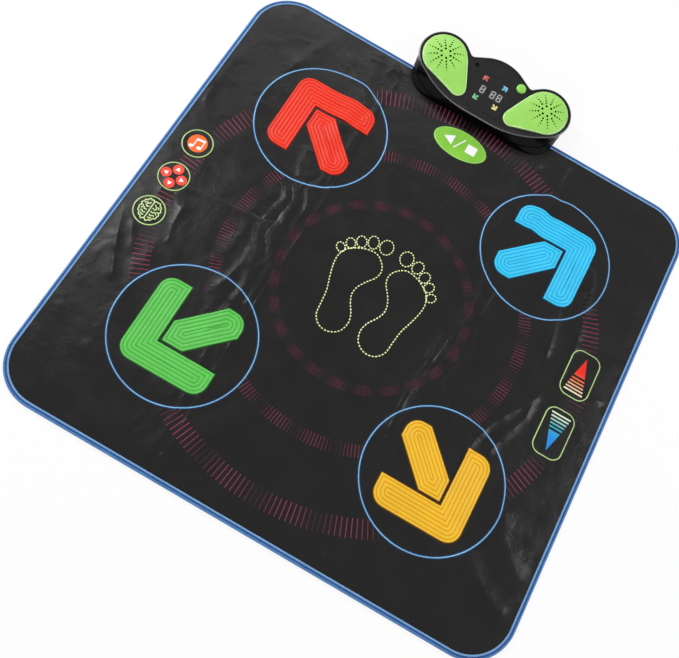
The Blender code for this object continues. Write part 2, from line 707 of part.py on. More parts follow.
def make_upper_shell(finishes, face):
    steps_below_rim = BEAD_HEIGHT + BEAD_PROUD + EDGE_ROUND
    low = PARTING_Z + GAP
    chamfer = EDGE_ROUND * (1 - math.cos(math.pi / 4))
    rings = [
        wall_ring(0.0, low, -steps_below_rim),
        rim_ring(0.0, -steps_below_rim),
        rim_ring(-BEAD_PROUD, -steps_below_rim + BEAD_PROUD),
        rim_ring(-BEAD_PROUD, -EDGE_ROUND),
        rim_ring(-BEAD_PROUD + chamfer, -chamfer),
        rim_ring(-BEAD_PROUD + EDGE_ROUND, 0.0),
    ]
    bm = bmesh.new()
    add_loft(bm, rings)
    shell = add_object("upper_shell", bm, finishes["shell"], smooth=True)

    bm = bmesh.new()
    add_loft(bm, [wall_ring(SHELL_WALL, low - SHELL_WALL, -FACE_WALL), rim_ring(SHELL_WALL, -FACE_WALL)])
    boolean(shell, "DIFFERENCE", add_object("upper_shell_hollow", bm, finishes["shell"]))

    bm = bmesh.new()
    root = -FACE_WALL + POCKET_DEPTH / 2
    post_end = -BOARD_DEPTH + GAP
    for x, y in board_posts():
        add_prism(bm, circle(x, y, POST_RADIUS, ROUND_STEPS // 2), post_end, root)
    boolean(shell, "UNION", in_frame(add_object("upper_shell_posts", bm, finishes["shell"]), face))

    bm = bmesh.new()
    boss_radius = SCREW_RADIUS + BOSS_WALL
    for side in (-1, 1):
        x = side * SHELL_SCREW_POSITION[0]
        y = SHELL_SCREW_POSITION[1]
        add_prism(bm, circle(x, y, boss_radius, ROUND_STEPS // 2), BOSS_SPLIT_Z + GAP, boss_roof_z())
    boolean(shell, "UNION", add_object("upper_shell_bosses", bm, finishes["shell"]))

    bm = bmesh.new()
    for side in (-1, 1):
        x = side * SHELL_SCREW_POSITION[0]
        y = SHELL_SCREW_POSITION[1]
        hole = circle(x, y, SCREW_RADIUS + GAP, ROUND_STEPS // 2)
        add_prism(bm, hole, BOSS_SPLIT_Z - GAP, screw_tip_z() + GAP)
    boolean(shell, "DIFFERENCE", add_object("upper_shell_screw_holes", bm, finishes["shell"]))

    bm = bmesh.new()
    for side in (-1, 1):
        add_prism(bm, teardrop(side, GAP), -POCKET_DEPTH, POCKET_DEPTH)
    add_prism(bm, window_outline(GAP), -POCKET_DEPTH, POCKET_DEPTH)
    boolean(shell, "DIFFERENCE", in_frame(add_object("upper_shell_pockets", bm, finishes["shell"]), face))

    bm = bmesh.new()
    low = -FACE_WALL - GAP
    for side in (-1, 1):
        add_prism(bm, teardrop(side, -SEAT_LEDGE), low, 0.0)
    add_prism(bm, window_outline(-WINDOW_LEDGE), low, 0.0)
    add_prism(bm, circle(*BUTTON_POSITION, BUTTON_RADIUS + SIDE_CLEARANCE), low, POCKET_DEPTH)
    add_prism(bm, circle(*MICROPHONE_POSITION, MICROPHONE_RADIUS + GAP, ROUND_STEPS // 2), low, POCKET_DEPTH)
    boolean(shell, "DIFFERENCE", in_frame(add_object("upper_shell_openings", bm, finishes["shell"]), face))


def boss_roof_z():
    """Just inside the face wall, above the shell screws."""
    along = (SHELL_SCREW_POSITION[1] - FACE_FRONT_Y) / math.cos(FACE_TILT)
    return face_to_mat(0.0, along, -FACE_WALL + 2 * GAP)[2]


def screw_tip_z():
    return boss_roof_z() - FACE_WALL


def board_posts():
    return [(side * x, y) for side in (-1, 1) for x, y in (FRONT_POST, REAR_POST)]


def compartment_half():
    """Half the inner size of the battery compartment, along X and along Y."""
    half_x = CELL_LENGTH / 2 + CELL_NUB[1] + GAP + CONTACT_THICKNESS + GAP
    half_y = CELL_PITCH * (CELL_COUNT - 1) / 2 + CELL_RADIUS + 2 * GAP
    return half_x, half_y


def compartment_box(grow):
    half_x, half_y = compartment_half()
    y = COMPARTMENT_CENTRE_Y
    return rectangle(-half_x - grow, y - half_y - grow, half_x + grow, y + half_y + grow)


def make_lower_shell(finishes):
    beyond = SHELL_WALL
    top = -FACE_WALL
    bm = bmesh.new()
    add_loft(bm, [wall_ring(0.0, REAR_FLOOR_Z, 0.0), wall_ring(0.0, PARTING_Z, 0.0)])
    shell = add_object("lower_shell", bm, finishes["shell"], smooth=True)

    bm = bmesh.new()
    half = MAT_WIDTH / 2
    add_prism(bm, rectangle(-half, 0.0, half, STEP_Y), -beyond, PLATE_Z)
    boolean(shell, "DIFFERENCE", add_object("lower_shell_mat_space", bm, finishes["shell"]))

    bm = bmesh.new()
    add_loft(bm, [wall_ring(SHELL_WALL, REAR_FLOOR_TOP, top), wall_ring(SHELL_WALL, PARTING_Z + beyond, top)])
    hollow = add_object("lower_shell_hollow", bm, finishes["shell"])
    bm = bmesh.new()
    add_prism(bm, rectangle(-half, 0.0, half, STEP_Y + SHELL_WALL), 0.0, PLATE_TOP)
    boolean(hollow, "DIFFERENCE", add_object("lower_shell_mat_plate", bm, finishes["shell"]))
    boolean(shell, "DIFFERENCE", hollow)

    bm = bmesh.new()
    add_prism(bm, compartment_box(SHELL_WALL), REAR_FLOOR_Z + GAP, COMPARTMENT_TOP + SHELL_WALL)
    boolean(shell, "UNION", add_object("lower_shell_compartment", bm, finishes["shell"]))

    bm = bmesh.new()
    boss_radius = SCREW_RADIUS + BOSS_WALL
    for side in (-1, 1):
        x = side * SHELL_SCREW_POSITION[0]
        y = SHELL_SCREW_POSITION[1]
        add_prism(bm, circle(x, y, boss_radius, ROUND_STEPS // 2), REAR_FLOOR_Z + GAP, BOSS_SPLIT_Z)
    boolean(shell, "UNION", add_object("lower_shell_bosses", bm, finishes["shell"]))

    bm = bmesh.new()
    add_prism(bm, compartment_box(0.0), 0.0, COMPARTMENT_TOP)
    for side in (-1, 1):
        x = side * SHELL_SCREW_POSITION[0]
        y = SHELL_SCREW_POSITION[1]
        head = circle(x, y, SCREW_HEAD_RADIUS + SIDE_CLEARANCE, ROUND_STEPS // 2)
        add_prism(bm, head, 0.0, REAR_FLOOR_Z + SCREW_HEAD_HEIGHT + 2 * GAP)
    half_x, half_y = CLAMP_SIZE[0] / 2 + SIDE_CLEARANCE, CLAMP_SIZE[1] / 2 + SIDE_CLEARANCE
    groove = rectangle(-half_x, CLAMP_Y - half_y, half_x, CLAMP_Y + half_y)
    add_prism(bm, groove, 0.0, MAT_TOP + GAP + CLAMP_SIZE[2] + GAP)
    boolean(shell, "DIFFERENCE", add_object("lower_shell_recesses", bm, finishes["shell"]))

    bm = bmesh.new()
    for side in (-1, 1):
        x = side * SHELL_SCREW_POSITION[0]
        y = SHELL_SCREW_POSITION[1]
        hole = circle(x, y, SCREW_RADIUS + GAP, ROUND_STEPS // 2)
        add_prism(bm, hole, REAR_FLOOR_Z + GAP, BOSS_SPLIT_Z + GAP)
    for x, y in clamp_screws():
        hole = circle(x, y, SCREW_RADIUS + GAP, ROUND_STEPS // 2)
        add_prism(bm, hole, MAT_TOP, CLAMP_SCREW_TIP_Z + GAP)
    half_width = TAIL_WIDTH / 2 + SIDE_CLEARANCE
    y0, y1 = tail_y()
    slot = rectangle(TAIL_X - half_width, y0 - SIDE_CLEARANCE, TAIL_X + half_width, y1 + SIDE_CLEARANCE)
    add_prism(bm, slot, MAT_TOP, PLATE_TOP + GAP)
    boolean(shell, "DIFFERENCE", add_object("lower_shell_holes", bm, finishes["shell"]))


def tail_y():
    """Where the membrane's tail stands, between the mat's rear edge and the shell's step."""
    y = MAT_REAR_Y + STEP_CLEARANCE / 2
    return y - FILM_THICKNESS / 2, y + FILM_THICKNESS / 2


def make_tail(finish):
    y0, y1 = tail_y()
    front = MAT_REAR_Y - BINDING_THICKNESS
    low = LOWER_FILM_Z
    foot = low + FILM_THICKNESS
    board_y = (y0 - FACE_FRONT_Y) / math.cos(FACE_TILT)
    high = face_to_mat(0.0, board_y, -BOARD_DEPTH - BOARD_THICKNESS)[2] - 2 * GAP
    section = [(front, low), (y1, low), (y1, high), (y0, high), (y0, foot), (front, foot)]
    x0 = TAIL_X - TAIL_WIDTH / 2
    x1 = TAIL_X + TAIL_WIDTH / 2
    bm = bmesh.new()
    add_rings(bm, [[(x, y, z) for y, z in section] for x in (x0, x1)])
    bmesh.ops.recalc_face_normals(bm, faces=bm.faces)
    add_object("membrane_tail", bm, finish)


def make_clamp(finishes):
    half_x, half_y = CLAMP_SIZE[0] / 2, CLAMP_SIZE[1] / 2
    low = MAT_TOP + GAP
    high = low + CLAMP_SIZE[2]
    bar = rectangle(-half_x, CLAMP_Y - half_y, half_x, CLAMP_Y + half_y)
    clamp = prisms("clamp_bar", [bar], low, high, finishes["steel"])
    holes = [circle(x, y, SCREW_RADIUS + GAP, ROUND_STEPS // 2) for x, y in clamp_screws()]
    boolean(clamp, "DIFFERENCE", prisms("clamp_bar_holes", holes, low - GAP, high + GAP, finishes["steel"]))


def make_screw(name, x, y, low, tip, finish):
    neck = low + SCREW_HEAD_HEIGHT
    bm = bmesh.new()
    profile = [(SCREW_HEAD_RADIUS, low), (SCREW_HEAD_RADIUS, neck), (SCREW_RADIUS, neck), (SCREW_RADIUS, tip)]
    add_turned(bm, profile, x, y, ROUND_STEPS // 2)
    add_object(name, bm, finish)


def make_screws(finishes):
    for word, (x, y) in zip(("left", "right"), clamp_screws()):
        make_screw(f"clamp_screw_{word}", x, y, GAP, CLAMP_SCREW_TIP_Z, finishes["steel"])
    for word, side in (("left", -1), ("right", 1)):
        x = side * SHELL_SCREW_POSITION[0]
        y = SHELL_SCREW_POSITION[1]
        make_screw(f"shell_screw_{word}", x, y, REAR_FLOOR_Z + GAP, screw_tip_z(), finishes["steel"])


def make_feet(finishes):
    for word, side in (("left", -1), ("right", 1)):
        bm = bmesh.new()
        profile = [(FOOT_RADIUS, 0.0), (FOOT_RADIUS, REAR_FLOOR_Z - GAP)]
        add_turned(bm, profile, side * LOBE_X, FOOT_Y, ROUND_STEPS // 2)
        add_object(f"rubber_foot_{word}", bm, finishes["rubber"])


def make_grilles(finishes, face):
    seat = -POCKET_DEPTH + GAP
    rim = SEAT_LEDGE - GAP

    def height(share):
        return GRILLE_EDGE_RISE + GRILLE_DOME * (1 - share * share)

    for word, side in (("left", -1), ("right", 1)):
        outer = [[(x, y, seat) for x, y in teardrop(side, 0.0)]]
        outer.append([(x, y, GRILLE_EDGE_RISE / 3) for x, y in teardrop(side, 0.0)])
        outer.append([(x, y, height(1.0)) for x, y in teardrop(side, -GRILLE_EDGE_RISE)])
        for share in GRILLE_SHARES:
            outer.append([(x, y, height(share)) for x, y in teardrop(side, 0.0, share)])
        inner = [[(x, y, seat - GAP) for x, y in teardrop(side, -rim)]]
        for share in GRILLE_SHARES[1:]:
            inner.append([(x, y, height(share) - GRILLE_WALL) for x, y in teardrop(side, 0.0, share)])
        bm = bmesh.new()
        add_loft(bm, outer)
        dome = in_frame(add_object(f"grille_{word}", bm, finishes["lime"], smooth=True), face)
        bm = bmesh.new()
        add_loft(bm, inner)
        hollow = in_frame(add_object(f"grille_{word}_hollow", bm, finishes["lime"]), face)
        boolean(dome, "DIFFERENCE", hollow)
        bm = bmesh.new()
        for radius, count, hole in HOLE_RINGS:
            for y, x in circle(0.0, 0.0, radius, count):
                outline = circle(side * LOBE_X + x, LOBE_Y + y, hole, HOLE_STEPS)
                add_prism(bm, outline, seat, height(0.0) + GAP)
        boolean(dome, "DIFFERENCE", in_frame(add_object(f"grille_{word}_holes", bm, finishes["lime"]), face))


def make_speakers(finishes, face):
    top = -FACE_WALL - GAP
    flange = top - SPEAKER_FLANGE
    neck = flange - BASKET_DEPTH
    bottom = neck - MAGNET_DEPTH
    rim = SPEAKER_RADIUS - SPEAKER_FLANGE
    step = top - SPEAKER_FLANGE / 2
    throat = BASKET_NECK_RADIUS - 2 * SPEAKER_FLANGE
    throat_z = neck + SPEAKER_FLANGE
    slope_top = (rim - SPEAKER_FLANGE, step)
    for word, side in (("left", -1), ("right", 1)):
        x = side * LOBE_X
        bm = bmesh.new()
        profile = [
            (BASKET_NECK_RADIUS, bottom),
            (BASKET_NECK_RADIUS, neck),
            (rim, flange),
            (SPEAKER_RADIUS, flange),
            (SPEAKER_RADIUS, top),
            (rim, top),
            (rim, step),
            slope_top,
            (throat, throat_z),
        ]
        add_turned(bm, profile, x, LOBE_Y, SPEAKER_STEPS)
        in_frame(add_object(f"speaker_{word}", bm, finishes["basket"], smooth=True), face)
        bm = bmesh.new()
        lift = GAP * 2
        edge = rim - GAP
        profile = [
            (throat - GAP, throat_z + lift),
            (slope_top[0] - GAP, step + GAP),
            (edge, step + GAP),
            (edge, top),
            (slope_top[0] - CONE_THICKNESS, top),
            (throat - CONE_THICKNESS, throat_z + lift + CONE_THICKNESS),
            (throat / 2, throat_z + lift + 3 * CONE_THICKNESS),
        ]
        add_turned(bm, profile, x, LOBE_Y, SPEAKER_STEPS)
        in_frame(add_object(f"speaker_cone_{word}", bm, finishes["cone"], smooth=True), face)


def make_display(finishes, face):
    seat = -POCKET_DEPTH + GAP
    top = seat + WINDOW_THICKNESS
    window = in_frame(prisms("display_window", [window_outline(0.0)], seat, top, finishes["window"]), face)
    openings = [digit_outline(x, GAP) for x in DIGIT_CENTRES_X]
    openings += [lamp_outline(side_x, side_y, GAP) for _, side_x, side_y in LAMPS]
    holes = prisms("display_window_holes", openings, seat - GAP, top + GAP, finishes["window"])
    boolean(window, "DIFFERENCE", in_frame(holes, face))

    stand = -BOARD_DEPTH + GAP
    under = seat - GAP
    half_x, half_y = DIGIT_SIZE[0] / 2 + MODULE_MARGIN, DIGIT_SIZE[1] / 2 + MODULE_MARGIN
    body = rectangle(
        DIGIT_CENTRES_X[0] - half_x,
        DIGIT_CENTRE_Y - half_y,
        DIGIT_CENTRES_X[-1] + half_x,
        DIGIT_CENTRE_Y + half_y,
    )
    module = in_frame(prisms("display_module", [body], stand, under, finishes["basket"]), face)
    digits = [digit_outline(x, 0.0) for x in DIGIT_CENTRES_X]
    raised = in_frame(prisms("display_module_digits", digits, stand + GAP, top, finishes["digit"]), face)
    boolean(module, "UNION", raised)

    for word, side_x, side_y in LAMPS:
        outline = lamp_outline(side_x, side_y, 0.0)
        in_frame(prisms(f"lamp_{word}", [outline], stand, top + GAP, finishes[word]), face)


def make_board(finishes, face):
    half_x, half_y = BOARD_SIZE[0] / 2, BOARD_SIZE[1] / 2
    outline = rectangle(-half_x, BOARD_CENTRE_Y - half_y, half_x, BOARD_CENTRE_Y + half_y)
    low = -BOARD_DEPTH - BOARD_THICKNESS
    in_frame(prisms("main_board", [outline], low, -BOARD_DEPTH, finishes["board"]), face)


def make_power_button(finishes, face):
    x, y = BUTTON_POSITION
    flange_top = -FACE_WALL - GAP
    flange_low = flange_top - BUTTON_FLANGE / 2
    stem_low = flange_low - BUTTON_FLANGE
    bm = bmesh.new()
    profile = [
        (BUTTON_STEM_RADIUS, stem_low),
        (BUTTON_STEM_RADIUS, flange_low),
        (BUTTON_RADIUS + BUTTON_FLANGE, flange_low),
        (BUTTON_RADIUS + BUTTON_FLANGE, flange_top),
        (BUTTON_RADIUS, flange_top),
    ]
    profile += [(BUTTON_RADIUS * across, BUTTON_RISE * up) for across, up in BUTTON_DOME]
    add_turned(bm, profile, x, y)
    button = add_object("power_button", bm, finishes["lime"], smooth=True)
    in_frame(set_origin(button, (x, y, flange_top)), face)
    half_x, half_y = SWITCH_SIZE[0] / 2, SWITCH_SIZE[1] / 2
    outline = rectangle(x - half_x, y - half_y, x + half_x, y + half_y)
    top = stem_low - BUTTON_TRAVEL - GAP
    in_frame(prisms("power_switch", [outline], -BOARD_DEPTH + GAP, top, finishes["basket"]), face)


def make_microphone(finishes, face):
    x, y = MICROPHONE_POSITION
    low = -FACE_WALL
    bm = bmesh.new()
    profile = [(MICROPHONE_RADIUS, low), (MICROPHONE_RADIUS, GAP), (MICROPHONE_HOLE_RADIUS, GAP)]
    profile.append((MICROPHONE_HOLE_RADIUS, low / 2))
    add_turned(bm, profile, x, y, ROUND_STEPS // 2)
    in_frame(add_object("microphone", bm, finishes["basket"], smooth=True), face)


def make_batteries(finishes):
    nub_radius, nub_length = CELL_NUB
    half_x, _ = compartment_half()
    wall = half_x - GAP
    plate_half_y = CELL_PITCH * (CELL_COUNT - 1) / 2 + CELL_RADIUS - GAP
    bumps = {-1: [], 1: []}
    for number in range(CELL_COUNT):
        y = COMPARTMENT_CENTRE_Y + (number - (CELL_COUNT - 1) / 2) * CELL_PITCH
        side = 1 if number % 2 else -1
        bm = bmesh.new()
        profile = [
            (CELL_RADIUS, -CELL_LENGTH / 2),
            (CELL_RADIUS, CELL_LENGTH / 2),
            (nub_radius, CELL_LENGTH / 2),
            (nub_radius, CELL_LENGTH / 2 + nub_length),
        ]
        add_turned(bm, profile, 0.0, 0.0, ROUND_STEPS // 2)
        turn = Matrix.Rotation(side * math.pi / 2, 4, "Y")
        bmesh.ops.transform(bm, matrix=turn, verts=bm.verts)
        bmesh.ops.translate(bm, vec=(0.0, y, CELL_Z), verts=bm.verts)
        add_object(f"battery_{number + 1}", bm, finishes["cell"], smooth=True)
        bumps[-side].append(y)
    for word, side in (("left", -1), ("right", 1)):
        low = REAR_FLOOR_TOP + GAP
        high = COMPARTMENT_TOP - GAP
        outer = side * wall
        inner = side * (wall - CONTACT_THICKNESS)
        y = COMPARTMENT_CENTRE_Y
        outline = rectangle(min(outer, inner), y - plate_half_y, max(outer, inner), y + plate_half_y)
        plate = prisms(f"battery_contact_{word}", [outline], low, high, finishes["steel"])
        bm = bmesh.new()
        for bump_y in bumps[side]:
            root = side * (wall - CONTACT_THICKNESS / 2)
            tip = side * (CELL_LENGTH / 2 + GAP)
            ends = sorted((root, tip))
            outline = rectangle(ends[0], bump_y - nub_radius, ends[1], bump_y + nub_radius)
            add_prism(bm, outline, CELL_Z - nub_radius, CELL_Z + nub_radius)
        boolean(plate, "UNION", add_object(f"battery_contact_{word}_bumps", bm, finishes["steel"]))

    cover = compartment_box(-SIDE_CLEARANCE)
    door = prisms("battery_door", [cover], REAR_FLOOR_Z, REAR_FLOOR_Z + DOOR_THICKNESS, finishes["shell"])
    hinge_y = cover[0][1]
    set_origin(door, (0.0, hinge_y, REAR_FLOOR_Z))


def main():
    clear_scene()
    finishes = {
        "sheet": material("black vinyl", (0.030, 0.030, 0.031), 0.42),
        "base": material("non-slip backing", (0.020, 0.020, 0.022), 0.85),
        "film": material("switch film", (0.55, 0.60, 0.62), 0.30),
        "foam": material("foam", (0.35, 0.35, 0.36), 0.95),
        "binding": material("blue binding", (0.075, 0.210, 0.560), 0.70),
        "red": material("red pad", (0.900, 0.060, 0.030), 0.40),
        "blue": material("blue pad", (0.035, 0.400, 0.850), 0.40),
        "green": material("green pad", (0.110, 0.550, 0.110), 0.40),
        "yellow": material("yellow pad", (0.850, 0.420, 0.030), 0.40),
        "shell": material("black plastic", (0.022, 0.021, 0.022), 0.35),
        "lime": material("lime plastic", (0.380, 0.700, 0.170), 0.40),
        "window": material("display window", (0.030, 0.028, 0.030), 0.20),
        "digit": material("display digits", (0.550, 0.550, 0.540), 0.40),
        "basket": material("dark steel", (0.050, 0.050, 0.055), 0.45, 0.4),
        "cone": material("speaker paper", (0.030, 0.030, 0.030), 0.90),
        "board": material("circuit board", (0.010, 0.120, 0.050), 0.50),
        "steel": material("plated steel", (0.600, 0.600, 0.600), 0.30, 1.0),
        "cell": material("battery jacket", (0.100, 0.100, 0.110), 0.35),
        "rubber": material("rubber", (0.020, 0.020, 0.020), 0.80),
    }
    left_pivot = frame_empty("left_fold_pivot", (-FOLD_X, 0.0, LEFT_FOLD_Z))
    right_pivot = frame_empty("right_fold_pivot", (FOLD_X, 0.0, RIGHT_FOLD_Z))
    face = frame_empty("console_face", (0.0, FACE_FRONT_Y, FACE_FRONT_Z), FACE_TILT)

    make_panel(-1, "left", finishes, left_pivot)
    make_panel(0, "centre", finishes, None)
    make_panel(1, "right", finishes, right_pivot)
    make_binding(-1, "left_binding", finishes["binding"], left_pivot)
    make_binding(0, "front_binding", finishes["binding"], None)
    make_binding(1, "right_binding", finishes["binding"], right_pivot)
    make_pads(finishes, left_pivot, right_pivot)
    make_upper_shell(finishes, face)
    make_lower_shell(finishes)
    make_tail(finishes["film"])
    make_clamp(finishes)
    make_screws(finishes)
    make_feet(finishes)
    make_grilles(finishes, face)
    make_speakers(finishes, face)
    make_display(finishes, face)
    make_board(finishes, face)
    make_power_button(finishes, face)
    make_microphone(finishes, face)
    make_batteries(finishes)


main()
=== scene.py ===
"""Electronic dance mat, dressed for the render. Metres, +Z up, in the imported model's frame."""

import functools
import math

import bmesh
import bpy
import numpy as np
from mathutils import Matrix, Vector
from mathutils.geometry import delaunay_2d_cdt


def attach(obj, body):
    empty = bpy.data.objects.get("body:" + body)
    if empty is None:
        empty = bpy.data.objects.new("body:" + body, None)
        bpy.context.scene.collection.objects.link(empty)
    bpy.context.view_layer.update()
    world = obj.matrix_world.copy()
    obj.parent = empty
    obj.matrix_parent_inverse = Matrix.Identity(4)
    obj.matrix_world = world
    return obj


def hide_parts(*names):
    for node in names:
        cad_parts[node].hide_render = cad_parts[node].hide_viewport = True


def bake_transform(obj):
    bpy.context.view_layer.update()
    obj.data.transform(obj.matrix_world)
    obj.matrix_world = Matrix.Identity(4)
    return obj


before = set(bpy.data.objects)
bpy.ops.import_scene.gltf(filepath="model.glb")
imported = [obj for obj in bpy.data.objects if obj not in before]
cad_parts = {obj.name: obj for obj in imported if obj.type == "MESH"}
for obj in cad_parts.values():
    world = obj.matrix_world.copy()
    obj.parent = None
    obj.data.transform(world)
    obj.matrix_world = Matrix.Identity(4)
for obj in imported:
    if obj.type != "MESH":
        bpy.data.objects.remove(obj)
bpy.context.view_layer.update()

MM = 0.001
ROOT = "centre_and_console"
WORDS = {-1: "left", 0: "centre", 1: "right"}

# Mat
HALF_X = 0.450
HALF_Y = 0.4478
CORNER = 0.080
MAT_TOP = 0.0055
BEND = (0.1415, 0.1512)
BEND_ROW = 0.003
BEND_MARGIN = 0.0006
BEND_COLUMNS = [side * (BEND[0] + (BEND[1] - BEND[0]) * i / 13) for side in (-1, 1) for i in range(1, 14)]
REAR_BINDING_END = 0.1485
BINDING_WIDTH = 0.009
SHEET_INSET = 0.0030
SHEET_SPACING = 0.0055
BACKING_SPACING = 0.016
CLAMP_HOLE = (0.090, 0.419, 0.0038)
CLEAR = 0.0004

# Pads; each arrow with the sides of the mat's middle that it is on, across and along
ARROWS = (("red", -1, 1), ("blue", 1, 1), ("green", -1, -1), ("yellow", 1, -1))
ARROW_SPAN = 0.155
ARROW_RADIUS = 0.024
ARROW_X = 0.1535
ARROW_Y = {1: 0.157, -1: 0.150}
ARROW_RISE = 0.0020
ARROW_EDGE = ((0.0, 0.0011), (0.0002, 0.00055), (0.0006, 0.0002), (0.0012, 0.0))
ARROW_SKIRT = 0.0016
ARROW_SPACING = 0.008
CHEVRON_INNER = ARROW_SPAN - 0.048
SHAFT_TIP = CHEVRON_INNER - 0.0055
SHAFT_SKEW = 0.0265 * math.sqrt(2)
RIB_PITCH = 0.0065
RIB_DEPTH = 0.0008
RIB_STEP = 0.00072
RIB_START = 0.0045
RIB_SHARPNESS = 2.4
RING_CENTRES = ((-0.231, 0.233), (0.231, 0.233), (-0.231, -0.226), (0.231, -0.226))
RING_RADIUS = 0.1207
START_PAD = (0.0, 0.346, 0.053, 0.029)
MODE_PADS = ((-0.394, 0.081), (-0.394, 0.005), (-0.394, -0.071))
MODE_RADIUS = 0.028
VOLUME_PADS = ((0.3755, 0.063), (0.3755, -0.053))
VOLUME_HALF = (0.0275, 0.045)
VOLUME_CORNER = 0.018
PAD_RISE = 0.0008
PAD_EDGE = 0.0022
PAD_LIP = PAD_RISE * 0.25
PAD_SKIRT = 0.0022

# Console face, and its round forms as x, y, radius
FACE_Y = 0.3994
FACE_Z = 0.0306
TILT = math.radians(8)
FACE_DROP = -0.0006
LOBE = (0.107, 0.076, 0.048)
TAIL = (0.057, 0.032, 0.016)
DOME_RADIUS = 0.076
FOOT_CORNER = 0.030
GRILLE_EDGE = 0.0055
BUTTON = (0.046, 0.094, 0.0092)
MICROPHONE = (-0.0465, 0.0925, 0.0045)
RIM_STEPS = (10, 40, 12, 24, 12, 40, 10)
FLOOR_Z = 0.002
PLATE_Z = 0.0067
STEP_Y = 0.4502
PARTING_Z = 0.01515
WALL = 0.0016


# ---- outlines ----


def arc(centre, radius, start, end, steps):
    turn = (end - start) / steps
    angles = [start + i * turn for i in range(steps + 1)]
    return [(centre[0] + radius * math.cos(a), centre[1] + radius * math.sin(a)) for a in angles]


def circle(x, y, radius, steps):
    return arc((x, y), radius, 0.0, math.tau * (1 - 1 / steps), steps - 1)


def ellipse(x, y, half_x, half_y, steps=72):
    return [(x + half_x * u, y + half_y * v) for u, v in circle(0.0, 0.0, 1.0, steps)]


def rectangle(x0, y0, x1, y1):
    return [(x0, y0), (x1, y0), (x1, y1), (x0, y1)]


def mirrored(outline):
    return [(-x, y) for x, y in reversed(outline)]


def sides(polygon):
    return zip(polygon, polygon[1:] + polygon[:1])


def between(start, end, share):
    return tuple(a + (b - a) * share for a, b in zip(start, end))


def heading(start, end):
    """The unit direction of a line, and its length."""
    length = math.dist(start, end)
    return (end[0] - start[0]) / length, (end[1] - start[1]) / length, length


def anticlockwise(polygon):
    area = sum(a[0] * b[1] - b[0] * a[1] for a, b in sides(polygon))
    return polygon if area > 0 else polygon[::-1]


def offset_corners(corners, distance):
    moved = []
    for index, (x, y) in enumerate(corners):
        before = Vector((x, y)) - Vector(corners[index - 1])
        after = Vector(corners[(index + 1) % len(corners)]) - Vector((x, y))
        first, second = [Vector((side.y, -side.x)).normalized() for side in (before, after)]
        bisector = (first + second) * distance / (1 + first.dot(second))
        moved.append((x + bisector.x, y + bisector.y))
    return moved


def corner_arcs(corners, radii, steps):
    """For each corner, the points of its fillet."""
    arcs = []
    for index, ((x, y), radius) in enumerate(zip(corners, radii)):
        if radius <= 0:
            arcs.append([(x, y)])
            continue
        here = Vector((x, y))
        back = (Vector(corners[index - 1]) - here).normalized()
        ahead = (Vector(corners[(index + 1) % len(corners)]) - here).normalized()
        half = back.angle(ahead) / 2
        centre = here + (back + ahead).normalized() * radius / math.sin(half)
        start = here + back * radius / math.tan(half) - centre
        turn = math.copysign(math.pi - 2 * half, back.y * ahead.x - back.x * ahead.y)
        angle = math.atan2(start.y, start.x)
        arcs.append(arc(centre, radius, angle, angle + turn, steps))
    return arcs


def rounded(corners, radii, steps):
    return [point for points in corner_arcs(corners, radii, steps) for point in points]


def belt(pulleys, steps):
    """A belt round circles given as x, y, radius. It passes inside those with a negative radius."""
    normals = []
    for (x0, y0, r0), (x1, y1, r1) in sides(pulleys):
        direction = math.atan2(y1 - y0, x1 - x0)
        normals.append(direction - math.acos((r0 - r1) / math.hypot(x1 - x0, y1 - y0)))
    outline = []
    for index, (x, y, radius) in enumerate(pulleys):
        start = normals[index - 1]
        turn = math.remainder(normals[index] - start, math.tau)
        if radius * turn < 0:
            turn += math.copysign(math.tau, radius)
        outline += arc((x, y), radius, start, start + turn, steps[index])
    return outline


def strip(start, end, width, overrun=0.18):
    """The quad of a straight line; the overrun at both ends is a share of its width."""
    u, v, _ = heading(start, end)
    o, h = width * overrun, width / 2
    ends = ((start, -o, h), (end, o, h), (end, o, -h), (start, -o, -h))
    return [(x + u * along + v * aside, y + v * along - u * aside) for (x, y), along, aside in ends]


def thick_line(points, width, closed=False):
    """The quads of a line of that width through the points."""
    pairs = sides(points) if closed else zip(points, points[1:])
    return [strip(start, end, width) for start, end in pairs if math.dist(start, end) > 1e-7]


def smooth_path(points, closed, per):
    """A Catmull-Rom curve through the points."""
    p = [np.array(q, float) for q in points]
    n = len(p)
    out = []
    for i in range(n if closed else n - 1):
        a = p[(i - 1) % n] if closed or i > 0 else 2 * p[0] - p[1]
        b = p[i]
        c = p[(i + 1) % n]
        d = p[(i + 2) % n] if closed or i < n - 2 else 2 * p[-1] - p[-2]
        for t in np.arange(per) / per:
            q = 0.5 * (2 * b + (c - a) * t + (2 * a - 5 * b + 4 * c - d) * t**2 + (3 * b - a - 3 * c + d) * t**3)
            out.append((float(q[0]), float(q[1])))
    return out if closed else out + [points[-1]]


def distances(points):
    """How far along the line each of its points lies."""
    return np.concatenate([[0], np.cumsum(np.hypot(*np.diff(points, axis=0).T))])


def dashes(points, dash, gap, width):
    """Dashes of even length along a closed line."""
    p = np.array(points + points[:1])
    s = distances(p)
    count = round(s[-1] / (dash + gap))
    starts = np.arange(count) * s[-1] / count
    ends = starts + dash / (dash + gap) * s[-1] / count
    starts, ends = [np.stack([np.interp(at, s, axis) for axis in p.T], -1).tolist() for at in (starts, ends)]
    return [strip(start, end, width) for start, end in zip(starts, ends)]


def inside(x, y, polygon):
    """Which points lie in the polygon."""
    found = np.zeros(x.shape, bool)
    for (x0, y0), (x1, y1) in sides(polygon):
        if y0 != y1:
            found ^= ((y0 > y) != (y1 > y)) & (x < (x1 - x0) * (y - y0) / (y1 - y0) + x0)
    return found


